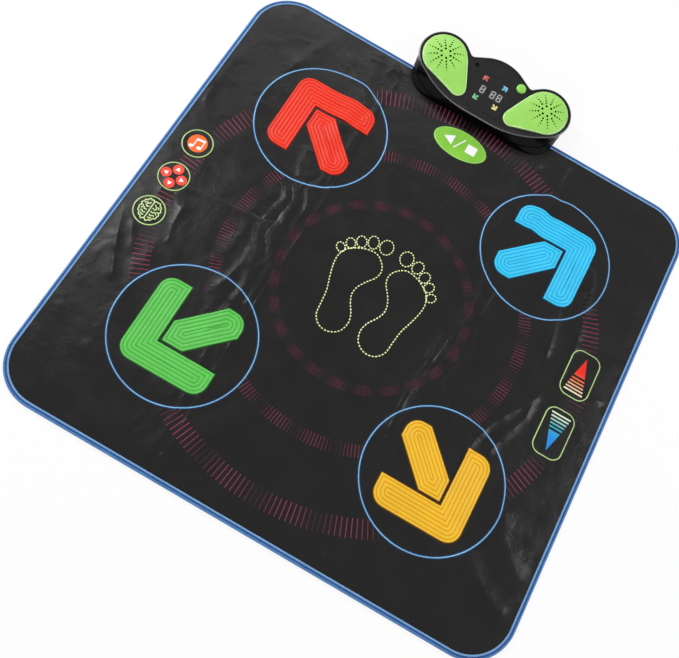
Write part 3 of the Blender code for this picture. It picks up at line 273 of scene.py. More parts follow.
def to_segment(x, y, start, end):
    """How far points lie from a segment, how far along it, and to which side: positive on its left."""
    x0, y0 = start
    u, v, length = heading(start, end)
    t = np.clip((x - x0) * u + (y - y0) * v, 0, length)
    dx, dy = x - x0 - u * t, y - y0 - v * t
    return np.hypot(dx, dy), t, u * dy - v * dx


def close_to(x, y, line, reach):
    """Which points lie in the line's box, grown by the reach."""
    x0, y0 = np.min(line, 0) - reach
    x1, y1 = np.max(line, 0) + reach
    return (x > x0) & (x < x1) & (y > y0) & (y < y1)


# ---- sheet surface ----


def smoothstep(t):
    t = np.clip(t, 0.0, 1.0)
    return t * t * (3 - 2 * t)


def hump(x, middle, width):
    return np.exp(-(((x - middle) / width) ** 2))


def tent(u):
    """A row of straight flanks: 1 at every whole number, 0 midway between two."""
    return 2 * np.abs(u - np.floor(u) - 0.5)


def noise(x, y, seed):
    """Smooth value noise from -1 to 1."""
    xi, yi = np.floor(x), np.floor(y)
    fx, fy = smoothstep(x - xi), smoothstep(y - yi)

    def corner(i, j):
        value = np.sin((xi + i) * 127.1 + (yi + j) * 311.7 + seed * 74.7) * 43758.5453
        return 2 * (value - np.floor(value)) - 1

    low = corner(0, 0) * (1 - fx) + corner(1, 0) * fx
    high = corner(0, 1) * (1 - fx) + corner(1, 1) * fx
    return low * (1 - fy) + high * fy


# Creases and wrinkles in millimetres: half width, height, how much wider the flank on their right is, and points
WRINKLES = (
    (2.6, 1.5, 1.3, (-160, 440), (-158, 400), (-163, 330), (-163, 260), (-158, 170), (-156, 100), (-158, 20),
     (-159, -60), (-161, -140), (-158, -230), (-154, -330), (-151, -440)),
    (13.0, 4.6, 0.9, (-214, 440), (-205, 395), (-199, 340), (-198, 290), (-203, 235), (-208, 190)),
    (4.0, 2.6, 1.6, (-208, 190), (-211, 150), (-200, 118), (-204, 95), (-194, 72), (-199, 50), (-187, 20),
     (-191, -8), (-188, -50), (-191, -100), (-193, -150), (-185, -230), (-178, -300), (-170, -380)),
    (9.0, 3.0, 0.8, (-228, 185), (-223, 150), (-214, 118)),
    (9.0, 2.4, 0.8, (-217, -35), (-215, -70), (-222, -110), (-238, -150)),
    (4.5, 2.4, 1.6, (-440, -75), (-420, -120), (-400, -165), (-375, -212)),
    (6.0, 1.5, 1.4, (-410, -95), (-385, -135), (-360, -172), (-348, -215)),
    (4.0, 1.1, 1.3, (-442, 2), (-380, -2), (-300, 8), (-235, 14), (-200, 24)),
    (12.0, 1.6, 1.0, (-352, -100), (-346, -190), (-350, -280), (-344, -350)),
    (10.0, 1.3, 1.0, (-255, 60), (-240, 10), (-246, -50), (-262, -110)),
    (5.0, 1.6, 1.2, (-440, 300), (-430, 255), (-436, 210), (-428, 150)),
    (12.0, 1.8, 1.0, (-300, 420), (-330, 330), (-352, 250), (-345, 190)),
    (4.0, 1.8, 1.0, (-170, 435), (-185, 400), (-178, 370)),
    (3.2, 3.2, 1.2, (137, 12), (132, -40), (129, -100), (127, -160), (125, -205)),
    (3.2, 3.0, 1.6, (150, 22), (144, -20), (139, -70), (133, -120), (131, -165)),
    (6.0, 2.4, 1.2, (-181, 128), (-171, 95), (-165, 58)),
    (8.0, 2.2, 0.8, (-229, 12), (-213, -20), (-201, -58)),
    (5.0, 2.2, 1.4, (-186, 8), (-180, -28), (-186, -62)),
    (5.0, 2.4, 1.4, (-198, -72), (-190, -110), (-196, -142)),
    (4.5, 1.8, 1.3, (-176, -40), (-170, -90), (-174, -140)),
    (4.5, -1.6, 1.0, (-252, 22), (-226, 19), (-206, 30)),
    (5.0, 1.6, 1.5, (-402, 10), (-398, -40), (-380, -90)),
    (4.0, 1.8, 1.6, (-352, -28), (-348, -70), (-336, -110)),
    (3.5, 1.8, 1.5, (-170, 350), (-168, 280), (-171, 200), (-166, 130)),
    (2.2, -0.5, 1.0, (125, -205), (124, -280), (122, -360), (120, -436)),
    (4.0, 1.6, 1.0, (128, -203), (145, -212), (160, -208), (172, -214)),
    (3.2, 1.8, 1.2, (152, 165), (151, 120), (156, 70), (150, 22)),
    (3.2, 1.8, 1.5, (185, 165), (178, 110), (175, 65)),
    (3.6, 1.8, 1.8, (205, 432), (201, 390), (203, 345), (196, 300)),
    (4.6, 3.6, 1.3, (275, 262), (288, 200), (296, 140), (306, 90), (311, 52)),
    (6.0, 4.4, 1.4, (300, 275), (322, 235), (337, 185), (346, 120), (350, 86)),
    (4.8, 4.2, 1.5, (326, 4), (325, -14), (312, -38), (292, -66), (274, -98), (262, -135), (259, -170)),
    (4.8, 3.8, 1.4, (322, -18), (322, -52), (311, -85), (299, -112), (291, -150)),
    (6.0, 0.9, 1.3, (118, -35), (108, -85), (92, -128), (62, -160)),
    (2.6, -0.5, 1.2, (330, 22), (372, 14), (405, 26), (442, 30)),
    (5.0, 1.9, 1.2, (338, 36), (380, 28), (412, 36), (442, 44)),
    (14.0, 5.4, 1.4, (352, -200), (372, -252), (404, -286), (440, -300)),
    (14.0, 5.4, 1.2, (322, -290), (358, -326), (398, -350), (440, -364)),
    (3.0, 1.8, 1.0, (110, 62), (117, 48), (115, 28)),
    (4.6, 3.4, 1.3, (318, 262), (332, 215), (330, 165), (338, 120)),
    (3.0, 1.5, 1.0, (236, 128), (232, 112), (240, 96)),
    (4.0, 1.6, 1.0, (112, -398), (124, -414), (140, -418), (150, -434)),
    (4.0, 1.4, 1.0, (-160, -405), (-146, -420), (-150, -436)),
    (6.0, 1.6, 1.0, (150, 400), (164, 372), (160, 330)),
    (22.0, 0.8, 1.0, (-40, -436), (-10, -300), (-15, -190)),
    (14.0, 1.0, 1.0, (300, -436), (322, -380), (318, -300)),
    (22.0, 0.7, 1.0, (-120, -300), (-60, -330), (10, -340)),
    (16.0, 0.7, 1.0, (60, 230), (80, 280), (130, 300)),
)
MAX_LIFT = 4.4


def wrinkle(x, y, points, width, height, lean):
    """A ridge along the points that fades to both sides and towards both ends."""
    best = np.full(x.shape, 1e9)
    left = np.zeros(x.shape)
    along = np.zeros(x.shape)
    done = 0.0
    for start, end in zip(points, points[1:]):
        d, t, side = to_segment(x, y, start, end)
        near = d < best
        best[near], left[near], along[near] = d[near], side[near], done + t[near]
        done += math.dist(start, end)
    share = along / done
    spread = width * np.where(left < 0, lean, 1.0)
    soft = 0.25 * width
    shape = np.exp(-(np.sqrt(best**2 + soft**2) - soft) / spread)
    taper = smoothstep(share / 0.12) * smoothstep((1 - share) / 0.12)
    return height * shape * taper * (0.75 + 0.35 * noise(along / 17.0, width, 5))


def rounded_box_distance(x, y, half_x, half_y, radius):
    """How far outside a rounded rectangle a point lies; negative inside."""
    qx = np.abs(x) - half_x + radius
    qy = np.abs(y) - half_y + radius
    return np.hypot(np.maximum(qx, 0), np.maximum(qy, 0)) + np.minimum(np.maximum(qx, qy), 0) - radius


def worn_share(x, y):
    """How crumpled the sheet is: most beside the folds, midway along them. Millimetres."""
    left = hump(x, -200, 32) * (0.25 + 0.75 * hump(y, 5, 140))
    right = 0.5 * hump(x, 150, 42) * (0.2 + 0.8 * hump(y, 0, 150))
    seam = 0.35 * hump(x, -166, 12) + 0.20 * hump(x, 132, 14)
    return left + right + seam * smoothstep((np.abs(y) - 130) / 60)


def lift(x, y):
    """How far the mat's surface stands above its flat level."""
    x = np.asarray(x, float) * 1000
    y = np.asarray(y, float) * 1000
    z = np.zeros(x.shape)
    for width, height, lean, *points in WRINKLES:
        near = close_to(x, y, points, width * 6 + 5)
        if near.any():
            z[near] += wrinkle(x[near], y[near], points, width, height, lean)
    z += 0.55 * noise(x / 95, y / 140, 1) + 0.28 * noise(x / 42, y / 60, 2) + 0.45
    worn = worn_share(x, y)
    across = x + 17 * noise(x / 48, y / 37, 6) + 0.12 * y
    folded = 1 - np.abs(noise(across / 13, y / 47, 3))
    small = 1 - np.abs(noise(across / 7.5, y / 21 + 0.4 * x / 21, 4))
    z += worn * (0.70 * folded**2 + 0.30 * small**2) + 0.08 * folded
    z += worn * 2.6 * tent((across + 11 * noise(x / 70, y / 52, 7)) / 27)
    z += worn * 1.7 * tent((0.80 * x + 0.60 * y + 16 * noise(x / 55, y / 50, 8)) / 41)
    z = MAX_LIFT * np.tanh(z / MAX_LIFT)
    edge = smoothstep(-(rounded_box_distance(x, y, 450, 447.8, 80) + 8) / 26)
    console = smoothstep((rounded_box_distance(x, y - 470, 150, 76, 20) + 2) / 24)
    return np.maximum(z, -0.3) * edge * console / 1000


def drift(x, y):
    """How far the creases by the console push the sheet along the mat's length."""
    x, y = x * 1000, y * 1000
    left = 3.2 * hump(x, -204, np.where(x < -204, 26, 19)) * smoothstep((y - 236) / 40) * smoothstep((436 - y) / 60)
    right = 2.6 * hump(x, 189, 10) - 1.8 * hump(x, 211, 12)
    return (left + right * smoothstep((y - 242) / 26) * smoothstep((430 - y) / 60)) / 1000


def lift_normals(x, y):
    """Unit normals of the lifted surface."""
    e = 0.0004
    dx = (lift(x + e, y) - lift(x - e, y)) / (2 * e)
    dy = (lift(x, y + e) - lift(x, y - e)) / (2 * e)
    n = np.stack([-dx, -dy, np.ones_like(dx)], -1)
    return n / np.linalg.norm(n, axis=-1, keepdims=True)


# ---- flat meshes ----


def split(polygon, spacing):
    points = []
    for start, end in sides(polygon):
        n = max(1, math.ceil(math.dist(start, end) / spacing - 1e-6))
        points += [between(start, end, i / n) for i in range(n)]
    return points


def lattice(box, spacing):
    """Rows of points, each half a step from its neighbours."""
    x0, y0, x1, y1 = box
    points = []
    for index, y in enumerate(np.arange(y0 + spacing / 2, y1, spacing * 0.866)):
        xs = np.arange(x0 + spacing * (0.25 if index % 2 else 0.75), x1, spacing)
        points.append(np.stack([xs, np.full_like(xs, y)], -1))
    return np.concatenate(points)


def bend_shares(x0, x1):
    """Where a line from x0 to x1 crosses the columns that a sheet bends along, as shares of its length."""
    return [(column - x0) / (x1 - x0) for column in BEND_COLUMNS if (column - x0) * (column - x1) < 0]


def cut_at_bends(polygon):
    points = []
    for start, end in sides(polygon):
        shares = [0.0] + [s for s in sorted(bend_shares(start[0], end[0])) if 0.02 < s < 0.98]
        points += [between(start, end, s) for s in shares]
    return points


def tile(outline, layers, spacing, finer=None, bends=False):
    """Triangles that fill the outline, with the finish of the topmost layer over each. A layer of None is a hole."""
    loops, points = [], []
    for polygon in [split(outline, spacing)] + [polygon for polygon, _ in layers]:
        polygon = anticlockwise(polygon)
        if bends:
            polygon = cut_at_bends(polygon)
        loops.append(list(range(len(points), len(points) + len(polygon))))
        points += polygon
    box = (*np.min(outline, 0), *np.max(outline, 0))
    grid = lattice(box, spacing)
    if finer:
        small = lattice(box, spacing / 2.2)
        grid = np.concatenate([grid[~finer(*grid.T)], small[finer(*small.T)]])
    if bends:
        # even rows of points along both folds
        across = np.abs(grid[:, 0])
        away = (across < BEND[0] - BEND_MARGIN) | (across > BEND[1] + BEND_MARGIN)
        rows = np.meshgrid(BEND_COLUMNS, np.arange(box[1] + BEND_ROW / 2, box[3], BEND_ROW))
        grid = np.concatenate([grid[away], np.stack([axis.ravel() for axis in rows], -1)])
    grid = grid[inside(*grid.T, outline)]
    vectors = [Vector(point) for point in points + grid.tolist()]
    found, _, faces, _, _, origins = delaunay_2d_cdt(vectors, [], loops, 1, 1e-7)
    finishes = ["base"] + [finish for _, finish in layers]
    kept = [(face, finishes[max(ids)]) for face, ids in zip(faces, origins) if 0 in ids and finishes[max(ids)]]
    used = sorted({i for face, _ in kept for i in face})
    order = {old: new for new, old in enumerate(used)}
    xy = np.array([found[i][:] for i in used], float)
    return xy, [[order[i] for i in face] for face, _ in kept], [finish for _, finish in kept]


# ---- objects ----


def link(name, data):
    obj = bpy.data.objects.new(name, data)
    bpy.context.scene.collection.objects.link(obj)
    return obj


def add_mesh(name, points, faces, kinds):
    """A smooth mesh with a finish for each face."""
    mesh = bpy.data.meshes.new(name)
    mesh.from_pydata([tuple(map(float, p)) for p in points], [], faces)
    names = list(dict.fromkeys(kinds))
    for finish in names:
        mesh.materials.append(MATERIALS[finish])
    mesh.polygons.foreach_set("material_index", [names.index(kind) for kind in kinds])
    mesh.polygons.foreach_set("use_smooth", [True] * len(faces))
    mesh.update()
    return link(name, mesh)


def dress(obj, node, body=ROOT, side=0):
    """Hides the node that a piece replaces and ties the piece to its body. A side panel's piece is baked where it
    stands instead.
    """
    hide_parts(node)
    if side > 0:
        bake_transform(obj)
    elif side < 0:
        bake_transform(obj)
    else:
        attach(obj, body)


def weld(mesh, distance):
    bm = bmesh.new()
    bm.from_mesh(mesh)
    bmesh.ops.remove_doubles(bm, verts=bm.verts, dist=distance)
    bm.to_mesh(mesh)
    bm.free()


def add_bevel(obj, width, angle):
    step = obj.modifiers.new("edge", "BEVEL")
    step.width = width
    step.segments = 2
    step.limit_method = "ANGLE"
    step.angle_limit = math.radians(angle)


class Build:
    """Collects the points and faces of one piece, and the finish of each face."""

    def __init__(self):
        self.points, self.faces, self.kinds = [], [], []

    def add(self, points, faces, kinds):
        start = len(self.points)
        self.points += [tuple(p) for p in points]
        self.faces += [[start + i for i in face] for face in faces]
        self.kinds += [kinds] * len(faces) if isinstance(kinds, str) else kinds

    def loft(self, rings, kind, closed=False):
        """Faces from ring to ring, with one finish or one for each band. Closed has both ends filled."""
        n, bands = len(rings[0]), len(rings) - 1
        pairs = [(i, (i + 1) % n) for i in range(n)]
        faces = [[a + i, a + j, a + n + j, a + n + i] for a in range(0, bands * n, n) for i, j in pairs]
        kinds = [k for k in ([kind] * bands if isinstance(kind, str) else kind) for _ in range(n)]
        if closed:
            faces += [list(range(n))[::-1], list(range(bands * n, bands * n + n))]
            kinds += [kinds[0], kinds[-1]]
        self.add([p for ring in rings for p in ring], faces, kinds)

    def prism(self, outline, low, high, kind):
        """A block on the console's face."""
        outline = anticlockwise(outline)
        self.loft([[face(x, y, z) for x, y in outline] for z in (low, high)], kind, True)

    def made(self, name, smooth_angle=None):
        obj = add_mesh(name, self.points, self.faces, self.kinds)
        weld(obj.data, 2e-6)
        if smooth_angle:
            obj.data.set_sharp_from_angle(angle=math.radians(smooth_angle))
        return obj


# ---- materials ----

MATERIALS = {}
THREAD = 0.0008


def srgb(r, g, b):
    def one(c):
        c /= 255
        return c / 12.92 if c <= 0.04045 else ((c + 0.055) / 1.055) ** 2.4

    return one(r), one(g), one(b)


def toned(colour, share, more=0.0):
    return tuple(min(1.0, c * share + more) for c in colour)


class Tree:
    """Short ways to add nodes. A value is a number, a colour or another node's output."""

    def __init__(self, owner):
        owner.use_nodes = True
        self.nodes = owner.node_tree.nodes
        self.links = owner.node_tree.links

    def put(self, socket, value):
        if hasattr(value, "is_linked"):
            self.links.new(value, socket)
        else:
            socket.default_value = (*value, 1.0) if isinstance(value, tuple) else value

    def node(self, kind, output, inputs, **settings):
        node = self.nodes.new("ShaderNode" + kind)
        for key, value in settings.items():
            setattr(node, key, value)
        for key, value in inputs.items():
            self.put(node.inputs[key], value)
        return node.outputs[output]

    def noise(self, scale, detail=4.0, distortion=0.0, rough=0.5, output="Fac"):
        inputs = {"Vector": self.where, "Scale": scale, "Detail": detail, "Distortion": distortion, "Roughness": rough}
        return self.node("TexNoise", output, inputs)

    def span(self, value, low, high, start=0.35, end=0.65):
        inputs = {"Value": value, "From Min": start, "From Max": end, "To Min": low, "To Max": high}
        return self.node("MapRange", "Result", inputs)

    def mix(self, factor, low, high):
        return self.node("Mix", "Result", {"Factor": factor, "A": low, "B": high}, data_type="RGBA")

    def calc(self, operation, *values):
        return self.node("Math", "Value", dict(enumerate(values)), operation=operation)

    def bump(self, height, strength, distance, **below):
        return self.node("Bump", "Normal", {"Height": height, "Strength": strength, "Distance": distance, **below})

    def seen(self):
        """1 for camera, glossy and transmission rays, otherwise 0."""
        path = self.nodes.new("ShaderNodeLightPath").outputs
        indirect = self.calc("MAXIMUM", path["Is Glossy Ray"], path["Is Transmission Ray"])
        return self.calc("MAXIMUM", path["Is Camera Ray"], indirect)


class Finish(Tree):
    """A material, kept under its name."""

    def __init__(self, name):
        MATERIALS[name] = bpy.data.materials.new(name)
        super().__init__(MATERIALS[name])
        self.shader = self.nodes["Principled BSDF"]
        self.where = self.nodes.new("ShaderNodeTexCoord").outputs["Object"]

    def shade(self, inputs):
        for key, value in inputs.items():
            self.put(self.shader.inputs[key], value)


def plain(
    name, colour, roughness, tone=0.10, scale=30.0, grain=900.0, bump=0.12, *,
    metallic=0.0, coat=0.0, specular=0.5, glow=0.0,
):
    """A moulded, printed or painted surface with faint mottling, uneven gloss and fine grain."""
    t = Finish(name)
    shade = t.mix(t.span(t.noise(scale, 5.0), 0.0, 1.0), toned(colour, 1 - tone), toned(colour, 1 + tone))
    t.shade({
        "Base Color": shade,
        "Roughness": t.span(t.noise(scale * 3.1, 3.0), roughness - 0.05, roughness + 0.05),
        "Normal": t.bump(t.noise(grain, 2.0), bump, 0.0002),
        "Metallic": metallic,
        "Coat Weight": coat,
        "Specular IOR Level": specular,
    })
    if glow:
        t.shade({"Emission Color": shade, "Emission Strength": glow})


def vinyl(name, colour, roughness=0.29, crinkle=1.0, tick=None, blend_y=None):
    """Thin PVC sheet: broad soft crinkles, a fine crazed crinkle and a pebbled grain. Prints share its relief."""
    t = Finish(name)
    axis = t.nodes.new("ShaderNodeSeparateXYZ")
    t.put(axis.inputs["Vector"], t.where)
    blotches = t.noise(18.0, 3.0, output="Color")
    bent = t.node("Mix", "Result", {"Factor": 0.06, "A": t.where, "B": blotches}, data_type="VECTOR")
    cells = {"Vector": bent, "Scale": 48.0, "Randomness": 1.0}
    craze = t.span(t.node("TexVoronoi", "Distance", cells, feature="DISTANCE_TO_EDGE"), 1.0, 0.0, 0.0, 0.12)
    ridge = t.calc("MULTIPLY", craze, t.span(t.noise(7.0, 2.0), 0.0, 1.0, 0.45, 0.65))
    normal = t.bump(t.noise(20.0, 2.0, 0.3), 0.42 * crinkle, 0.004)
    normal = t.bump(t.noise(75.0, 4.0, 0.4, 0.6), 0.20 * crinkle, 0.0012, Normal=normal)
    normal = t.bump(ridge, 0.16 * crinkle, 0.0006, Normal=normal)
    normal = t.bump(t.noise(1400.0, 2.0), 0.10, 0.0001, Normal=normal)
    shade = t.mix(t.span(t.noise(12.0), 0.0, 1.0), toned(colour, 0.86), toned(colour, 1.14))
    if tick:
        # the ticks' print fades in and out round the ring
        faint, power = tick
        angle = t.calc("ARCTAN2", axis.outputs["Y"], axis.outputs["X"])
        wave = t.calc("SINE", t.calc("MULTIPLY", angle, math.pi / math.radians(15)))
        shade = t.mix(t.calc("POWER", t.calc("ABSOLUTE", wave), power), faint, shade)
    if blend_y:
        (y0, colour0), (y1, colour1), (y2, colour2) = blend_y
        lower = t.mix(t.span(axis.outputs["Y"], 0.0, 1.0, y0, y1), colour0, colour1)
        shade = t.mix(t.span(axis.outputs["Y"], 0.0, 1.0, y1, y2), lower, colour2)
    gloss = t.span(t.noise(22.0), roughness - 0.07, roughness + 0.07)
    t.shade({"Base Color": shade, "Roughness": gloss, "Normal": normal, "Specular IOR Level": 0.22})


def woven(name, colour, roughness=0.8):
    """Tape woven of fine threads."""
    t = Finish(name)
    waves = {"Vector": t.where, "Scale": 2 / THREAD / math.tau, "Distortion": 0.4}
    cloth = t.calc("MAXIMUM", *[t.node("TexWave", "Fac", waves, bands_direction=axis) for axis in "XY"])
    wear = t.span(t.noise(60.0, 5.0), 0.0, 0.35)
    t.shade({
        "Base Color": t.mix(wear, t.mix(cloth, toned(colour, 0.72), colour), toned(colour, 1.35, 0.02)),
        "Roughness": t.span(t.noise(90.0, 3.0), roughness - 0.06, roughness + 0.06),
        "Normal": t.bump(cloth, 0.35, 0.0003),
        "Sheen Weight": 0.3,
    })


vinyl("base", (0.0036, 0.0036, 0.0034))
vinyl("tick_inner", srgb(108, 34, 60), tick=(srgb(24, 19, 22), 1.9))
vinyl("tick_middle", srgb(124, 42, 72), tick=(srgb(26, 20, 24), 1.4))
vinyl("tick", srgb(146, 50, 84), tick=(srgb(34, 26, 31), 1.2))
# painted shadow: a near-black band round the sheet's edge, inside the binding, standing in for the binding's shadow
vinyl("painted_edge_shadow", (0.0012, 0.0013, 0.0016))
vinyl("line_core", srgb(138, 190, 222))
vinyl("line_halo", srgb(10, 58, 108))
vinyl("lime_line", srgb(186, 212, 142))
vinyl("foot_line", srgb(236, 246, 178))
vinyl("foot_edge", srgb(10, 24, 4))
vinyl("start_green", srgb(128, 194, 62), 0.38, 0.5)
# painted shadow: a dark green ring on the sheet round the raised start pad, standing in for the shadow of its edge
vinyl("start_painted_shadow", srgb(10, 44, 12))
vinyl("lime_halo", srgb(30, 46, 14))
vinyl("start_rim", srgb(168, 222, 118), 0.38, 0.5)
vinyl("white_print", srgb(244, 244, 244), 0.40, 0.5)
vinyl("orange_print", srgb(235, 105, 35), 0.40, 0.5)
vinyl("coral_print", srgb(235, 70, 50), 0.40, 0.5)
UP_BLEND = ((0.030, srgb(240, 225, 190)), (0.050, srgb(240, 120, 70)), (0.066, srgb(232, 40, 30)))
DOWN_BLEND = ((-0.062, srgb(30, 140, 225)), (-0.040, srgb(50, 175, 190)), (-0.022, srgb(215, 235, 205)))
vinyl("up_print", (0, 0, 0), 0.40, 0.5, blend_y=UP_BLEND)
vinyl("down_print", (0, 0, 0), 0.40, 0.5, blend_y=DOWN_BLEND)
for word, ridge, groove, edge, lamp in (
    ("red", (238, 50, 16), (202, 24, 6), (64, 8, 6), (206, 84, 70)),
    ("blue", (52, 200, 240), (20, 162, 220), (6, 36, 70), (104, 180, 216)),
    ("green", (94, 194, 82), (64, 168, 58), (8, 52, 14), (104, 186, 136)),
    ("yellow", (242, 190, 36), (218, 158, 22), (70, 38, 6), (224, 204, 128)),
):
    # the ribs' hollows take a darker copy of the pad colour: partly the pad's own tone, partly painted shade
    plain(f"{word}_ridge", srgb(*ridge), 0.42, 0.04, 24.0, 1100.0, 0.10, specular=0.35)
    plain(f"{word}_groove", srgb(*groove), 0.50, 0.04, 24.0, 1100.0, 0.10, specular=0.3)
    vinyl(f"{word}_edge", srgb(*edge), 0.45, 0.4)
    plain(f"lamp_{word}", srgb(*lamp), 0.25, 0.05, 200.0, 900.0, 0.05, coat=0.3, glow=0.15)
# one blue tape in lit and shaded copies: a painted highlight on the inner ridge, painted shade in the groove and on the
# outer side and underside
woven("binding", srgb(66, 124, 186))
woven("binding_painted_highlight", srgb(112, 158, 206))
woven("binding_groove_painted_shade", srgb(12, 58, 118), 0.9)
woven("binding_side_painted_shade", srgb(36, 92, 146))
plain("thread", srgb(60, 120, 190), 0.65, 0.12, 200.0, 2500.0, 0.3)
plain("backing", (0.018, 0.018, 0.019), 0.85, 0.2, 60.0, 1500.0, 0.5)
plain("film", (0.55, 0.60, 0.62), 0.30, 0.05, 20.0)
plain("foam", (0.34, 0.34, 0.35), 0.95, 0.15, 300.0, 2500.0, 0.8)
plain("shell", (0.0022, 0.0022, 0.0023), 0.16, 0.12, 40.0, 2600.0, 0.06, specular=0.10)
plain("shell_lip", (0.0030, 0.0030, 0.0031), 0.24, 0.12, 40.0, 2600.0, 0.05, specular=1.0, coat=0.8)
plain("shell_face", (0.0056, 0.0060, 0.0060), 0.34, 0.12, 40.0, 3000.0, 0.14, specular=0.22)
# painted shade: near-black, unreflective walls inside the grille's holes
plain("hole", (0.004, 0.004, 0.004), 0.95, 0.12, 200.0, specular=0.0)
plain("lime", srgb(150, 212, 92), 0.36, 0.04, 30.0, 1800.0, 0.10)
# painted highlight: paler lime on the grille's rounded rim and its side, standing in for light on the bevel
plain("lime_edge", srgb(196, 238, 158), 0.34, 0.04, 30.0, 1800.0, 0.08)
plain("button", srgb(132, 208, 76), 0.30, 0.05, 60.0, 1800.0, 0.08, coat=0.4)
plain("window", (0.0045, 0.0042, 0.0045), 0.14, 0.1, 40.0, 500.0, 0.02, specular=0.30)
plain("segment", srgb(170, 170, 168), 0.35, 0.04, 90.0, 900.0, 0.05, glow=0.10)
plain("segment_block", (0.030, 0.030, 0.030), 0.30, 0.1, 90.0)
plain("dark_metal", (0.045, 0.045, 0.05), 0.42, 0.1, 60.0, 900.0, 0.10, metallic=0.3)
plain("paper", (0.006, 0.006, 0.006), 0.92, 0.2, 200.0, 1800.0, 0.5, specular=0.1)
plain("board", (0.010, 0.110, 0.045), 0.45, 0.2, 300.0)
plain("steel", (0.60, 0.60, 0.60), 0.28, 0.05, 60.0, 700.0, 0.08, metallic=1.0)
plain("cell", (0.095, 0.095, 0.105), 0.32, 0.1, 60.0)
plain("rubber", (0.018, 0.018, 0.018), 0.80, 0.15, 90.0, 1600.0, 0.35)


# ---- mat ----


def panel_outline(side, inset):
    half_x, half_y, radius = HALF_X - inset, HALF_Y - inset, CORNER - inset
    if side == 0:
        return rectangle(-BEND[0], -half_y, BEND[0], half_y)
    outline = rounded(rectangle(BEND[0], -half_y, half_x, half_y), (0, radius, radius, 0), 20)
    return outline if side > 0 else mirrored(outline)


# The two parts of an arrow, with the radius of each corner
CHEVRON = (
    [(ARROW_SPAN, 0), (ARROW_SPAN, ARROW_SPAN), (0, ARROW_SPAN), (0, CHEVRON_INNER), (CHEVRON_INNER, CHEVRON_INNER),
     (CHEVRON_INNER, 0)],
    (ARROW_RADIUS,) * 3 + (0,) * 3,
)
SHAFT = (
    [(0, 0), (SHAFT_SKEW, 0), (SHAFT_TIP, SHAFT_TIP - SHAFT_SKEW), (SHAFT_TIP, SHAFT_TIP),
     (SHAFT_TIP - SHAFT_SKEW, SHAFT_TIP), (0, SHAFT_SKEW)],
    (ARROW_RADIUS,) + (0,) * 5,
)


def arrow_at(side_x, side_y, outline):
    return [(side_x * (ARROW_X + u), side_y * (ARROW_Y[side_y] + v)) for u, v in outline]


def arrow_outline(shape, grow, steps=8):
    corners, radii = shape
    radii = [r + grow if r > 0 else 0.0006 + max(grow, 0) * 0.5 for r in radii]
    return rounded(offset_corners(corners, grow), radii, steps)


def volume_outline(centre, grow):
    x, y = centre
    half_x, half_y = VOLUME_HALF[0] + grow, VOLUME_HALF[1] + grow
    return rounded(rectangle(x - half_x, y - half_y, x + half_x, y + half_y), [VOLUME_CORNER + grow] * 4, 10)


# Rings of radial ticks: inner and outer radius, width and finish
TICKS = 288
TICK_RINGS = (
    (0.1605, 0.1765, 0.0008, "tick_inner"), (0.2585, 0.2800, 0.0011, "tick_middle"), (0.3735, 0.4045, 0.0013, "tick"),
)

# A foot's sole, and its toes as centre, half widths and turn, in millimetres
SOLE = (
    (-29, 70), (-15, 60), (-7.5, 46), (-10, 30), (-21, 14), (-29.5, -2), (-31.5, -18), (-25.5, -34), (-16, -50),
    (-12, -68), (-18.5, -87), (-35, -97.5), (-53, -95), (-65.5, -81), (-68.5, -59), (-71.5, -34), (-79, -9), (-85, 16),
    (-85, 35), (-77.5, 51), (-63, 62), (-46, 69),
)
TOES = (
    (-20, 90, 12, 14.5, 0), (-44, 86, 9.5, 12.5, 14), (-62.5, 76, 9, 11, 22), (-77.5, 63.5, 8.3, 10, 30),
    (-89, 48, 7.6, 9.2, 40),
)


def foot_prints():
    """Each outline is a thin dark green line with pale dashes on it."""
    lines, pale = [], []
    for side in (-1, 1):
        sole = smooth_path([(-side * x * MM, y * MM) for x, y in SOLE], True, 10)
        lines += thick_line(sole, 0.0024, True)
        pale += dashes(sole, 0.0029, 0.0030, 0.0020)
        for x, y, half_x, half_y, turn in TOES:
            c, s = math.cos(math.radians(turn)), math.sin(math.radians(turn))
            oval = ellipse(0, 0, half_x, half_y, 28)
            toe = [(-side * (x + u * c - v * s) * MM, (y + u * s + v * c) * MM) for u, v in oval]
            lines += thick_line(toe, 0.0022, True)
            pale += dashes(toe, 0.0026, 0.0027, 0.0019)
    return [(quad, "foot_edge") for quad in lines] + [(quad, "foot_line") for quad in pale]


def sheet_layers():
    """The printed areas and the pads' windows, from the lowest to the topmost."""
    layers = []
    for r0, r1, width, kind in TICK_RINGS:
        for angle in (np.arange(TICKS) + 0.5) * math.tau / TICKS:
            u, v = math.cos(angle), math.sin(angle)
            layers.append((strip((r0 * u, r0 * v), (r1 * u, r1 * v), width, 0.0), kind))
    for x, y in RING_CENTRES:
        for grow, kind in ((0.0023, "line_halo"), (0.0008, "line_core"), (-0.0008, "line_halo"), (-0.0023, "base")):
            layers.append((circle(x, y, RING_RADIUS + grow, 144), kind))
    for word, side_x, side_y in ARROWS:
        for grow, kind in ((0.0022, f"{word}_edge"), (CLEAR, None)):
            layers += [(arrow_at(side_x, side_y, arrow_outline(shape, grow)), kind) for shape in (CHEVRON, SHAFT)]
    layers += foot_prints()
    rims = ((0.0022, "base"), (0.0011, "lime_halo"), (CLEAR, None))
    layers += [(circle(x, y, MODE_RADIUS + grow, 64), kind) for x, y in MODE_PADS for grow, kind in rims]
    layers += [(volume_outline(centre, grow), kind) for centre in VOLUME_PADS for grow, kind in rims]
    x, y, half_x, half_y = START_PAD
    # the dark ring round the start pad is a painted shadow
    for grow, kind in ((0.0024, "start_painted_shadow"), (CLEAR, None)):
        layers.append((ellipse(x, y, half_x + grow, half_y + grow), kind))
    return layers


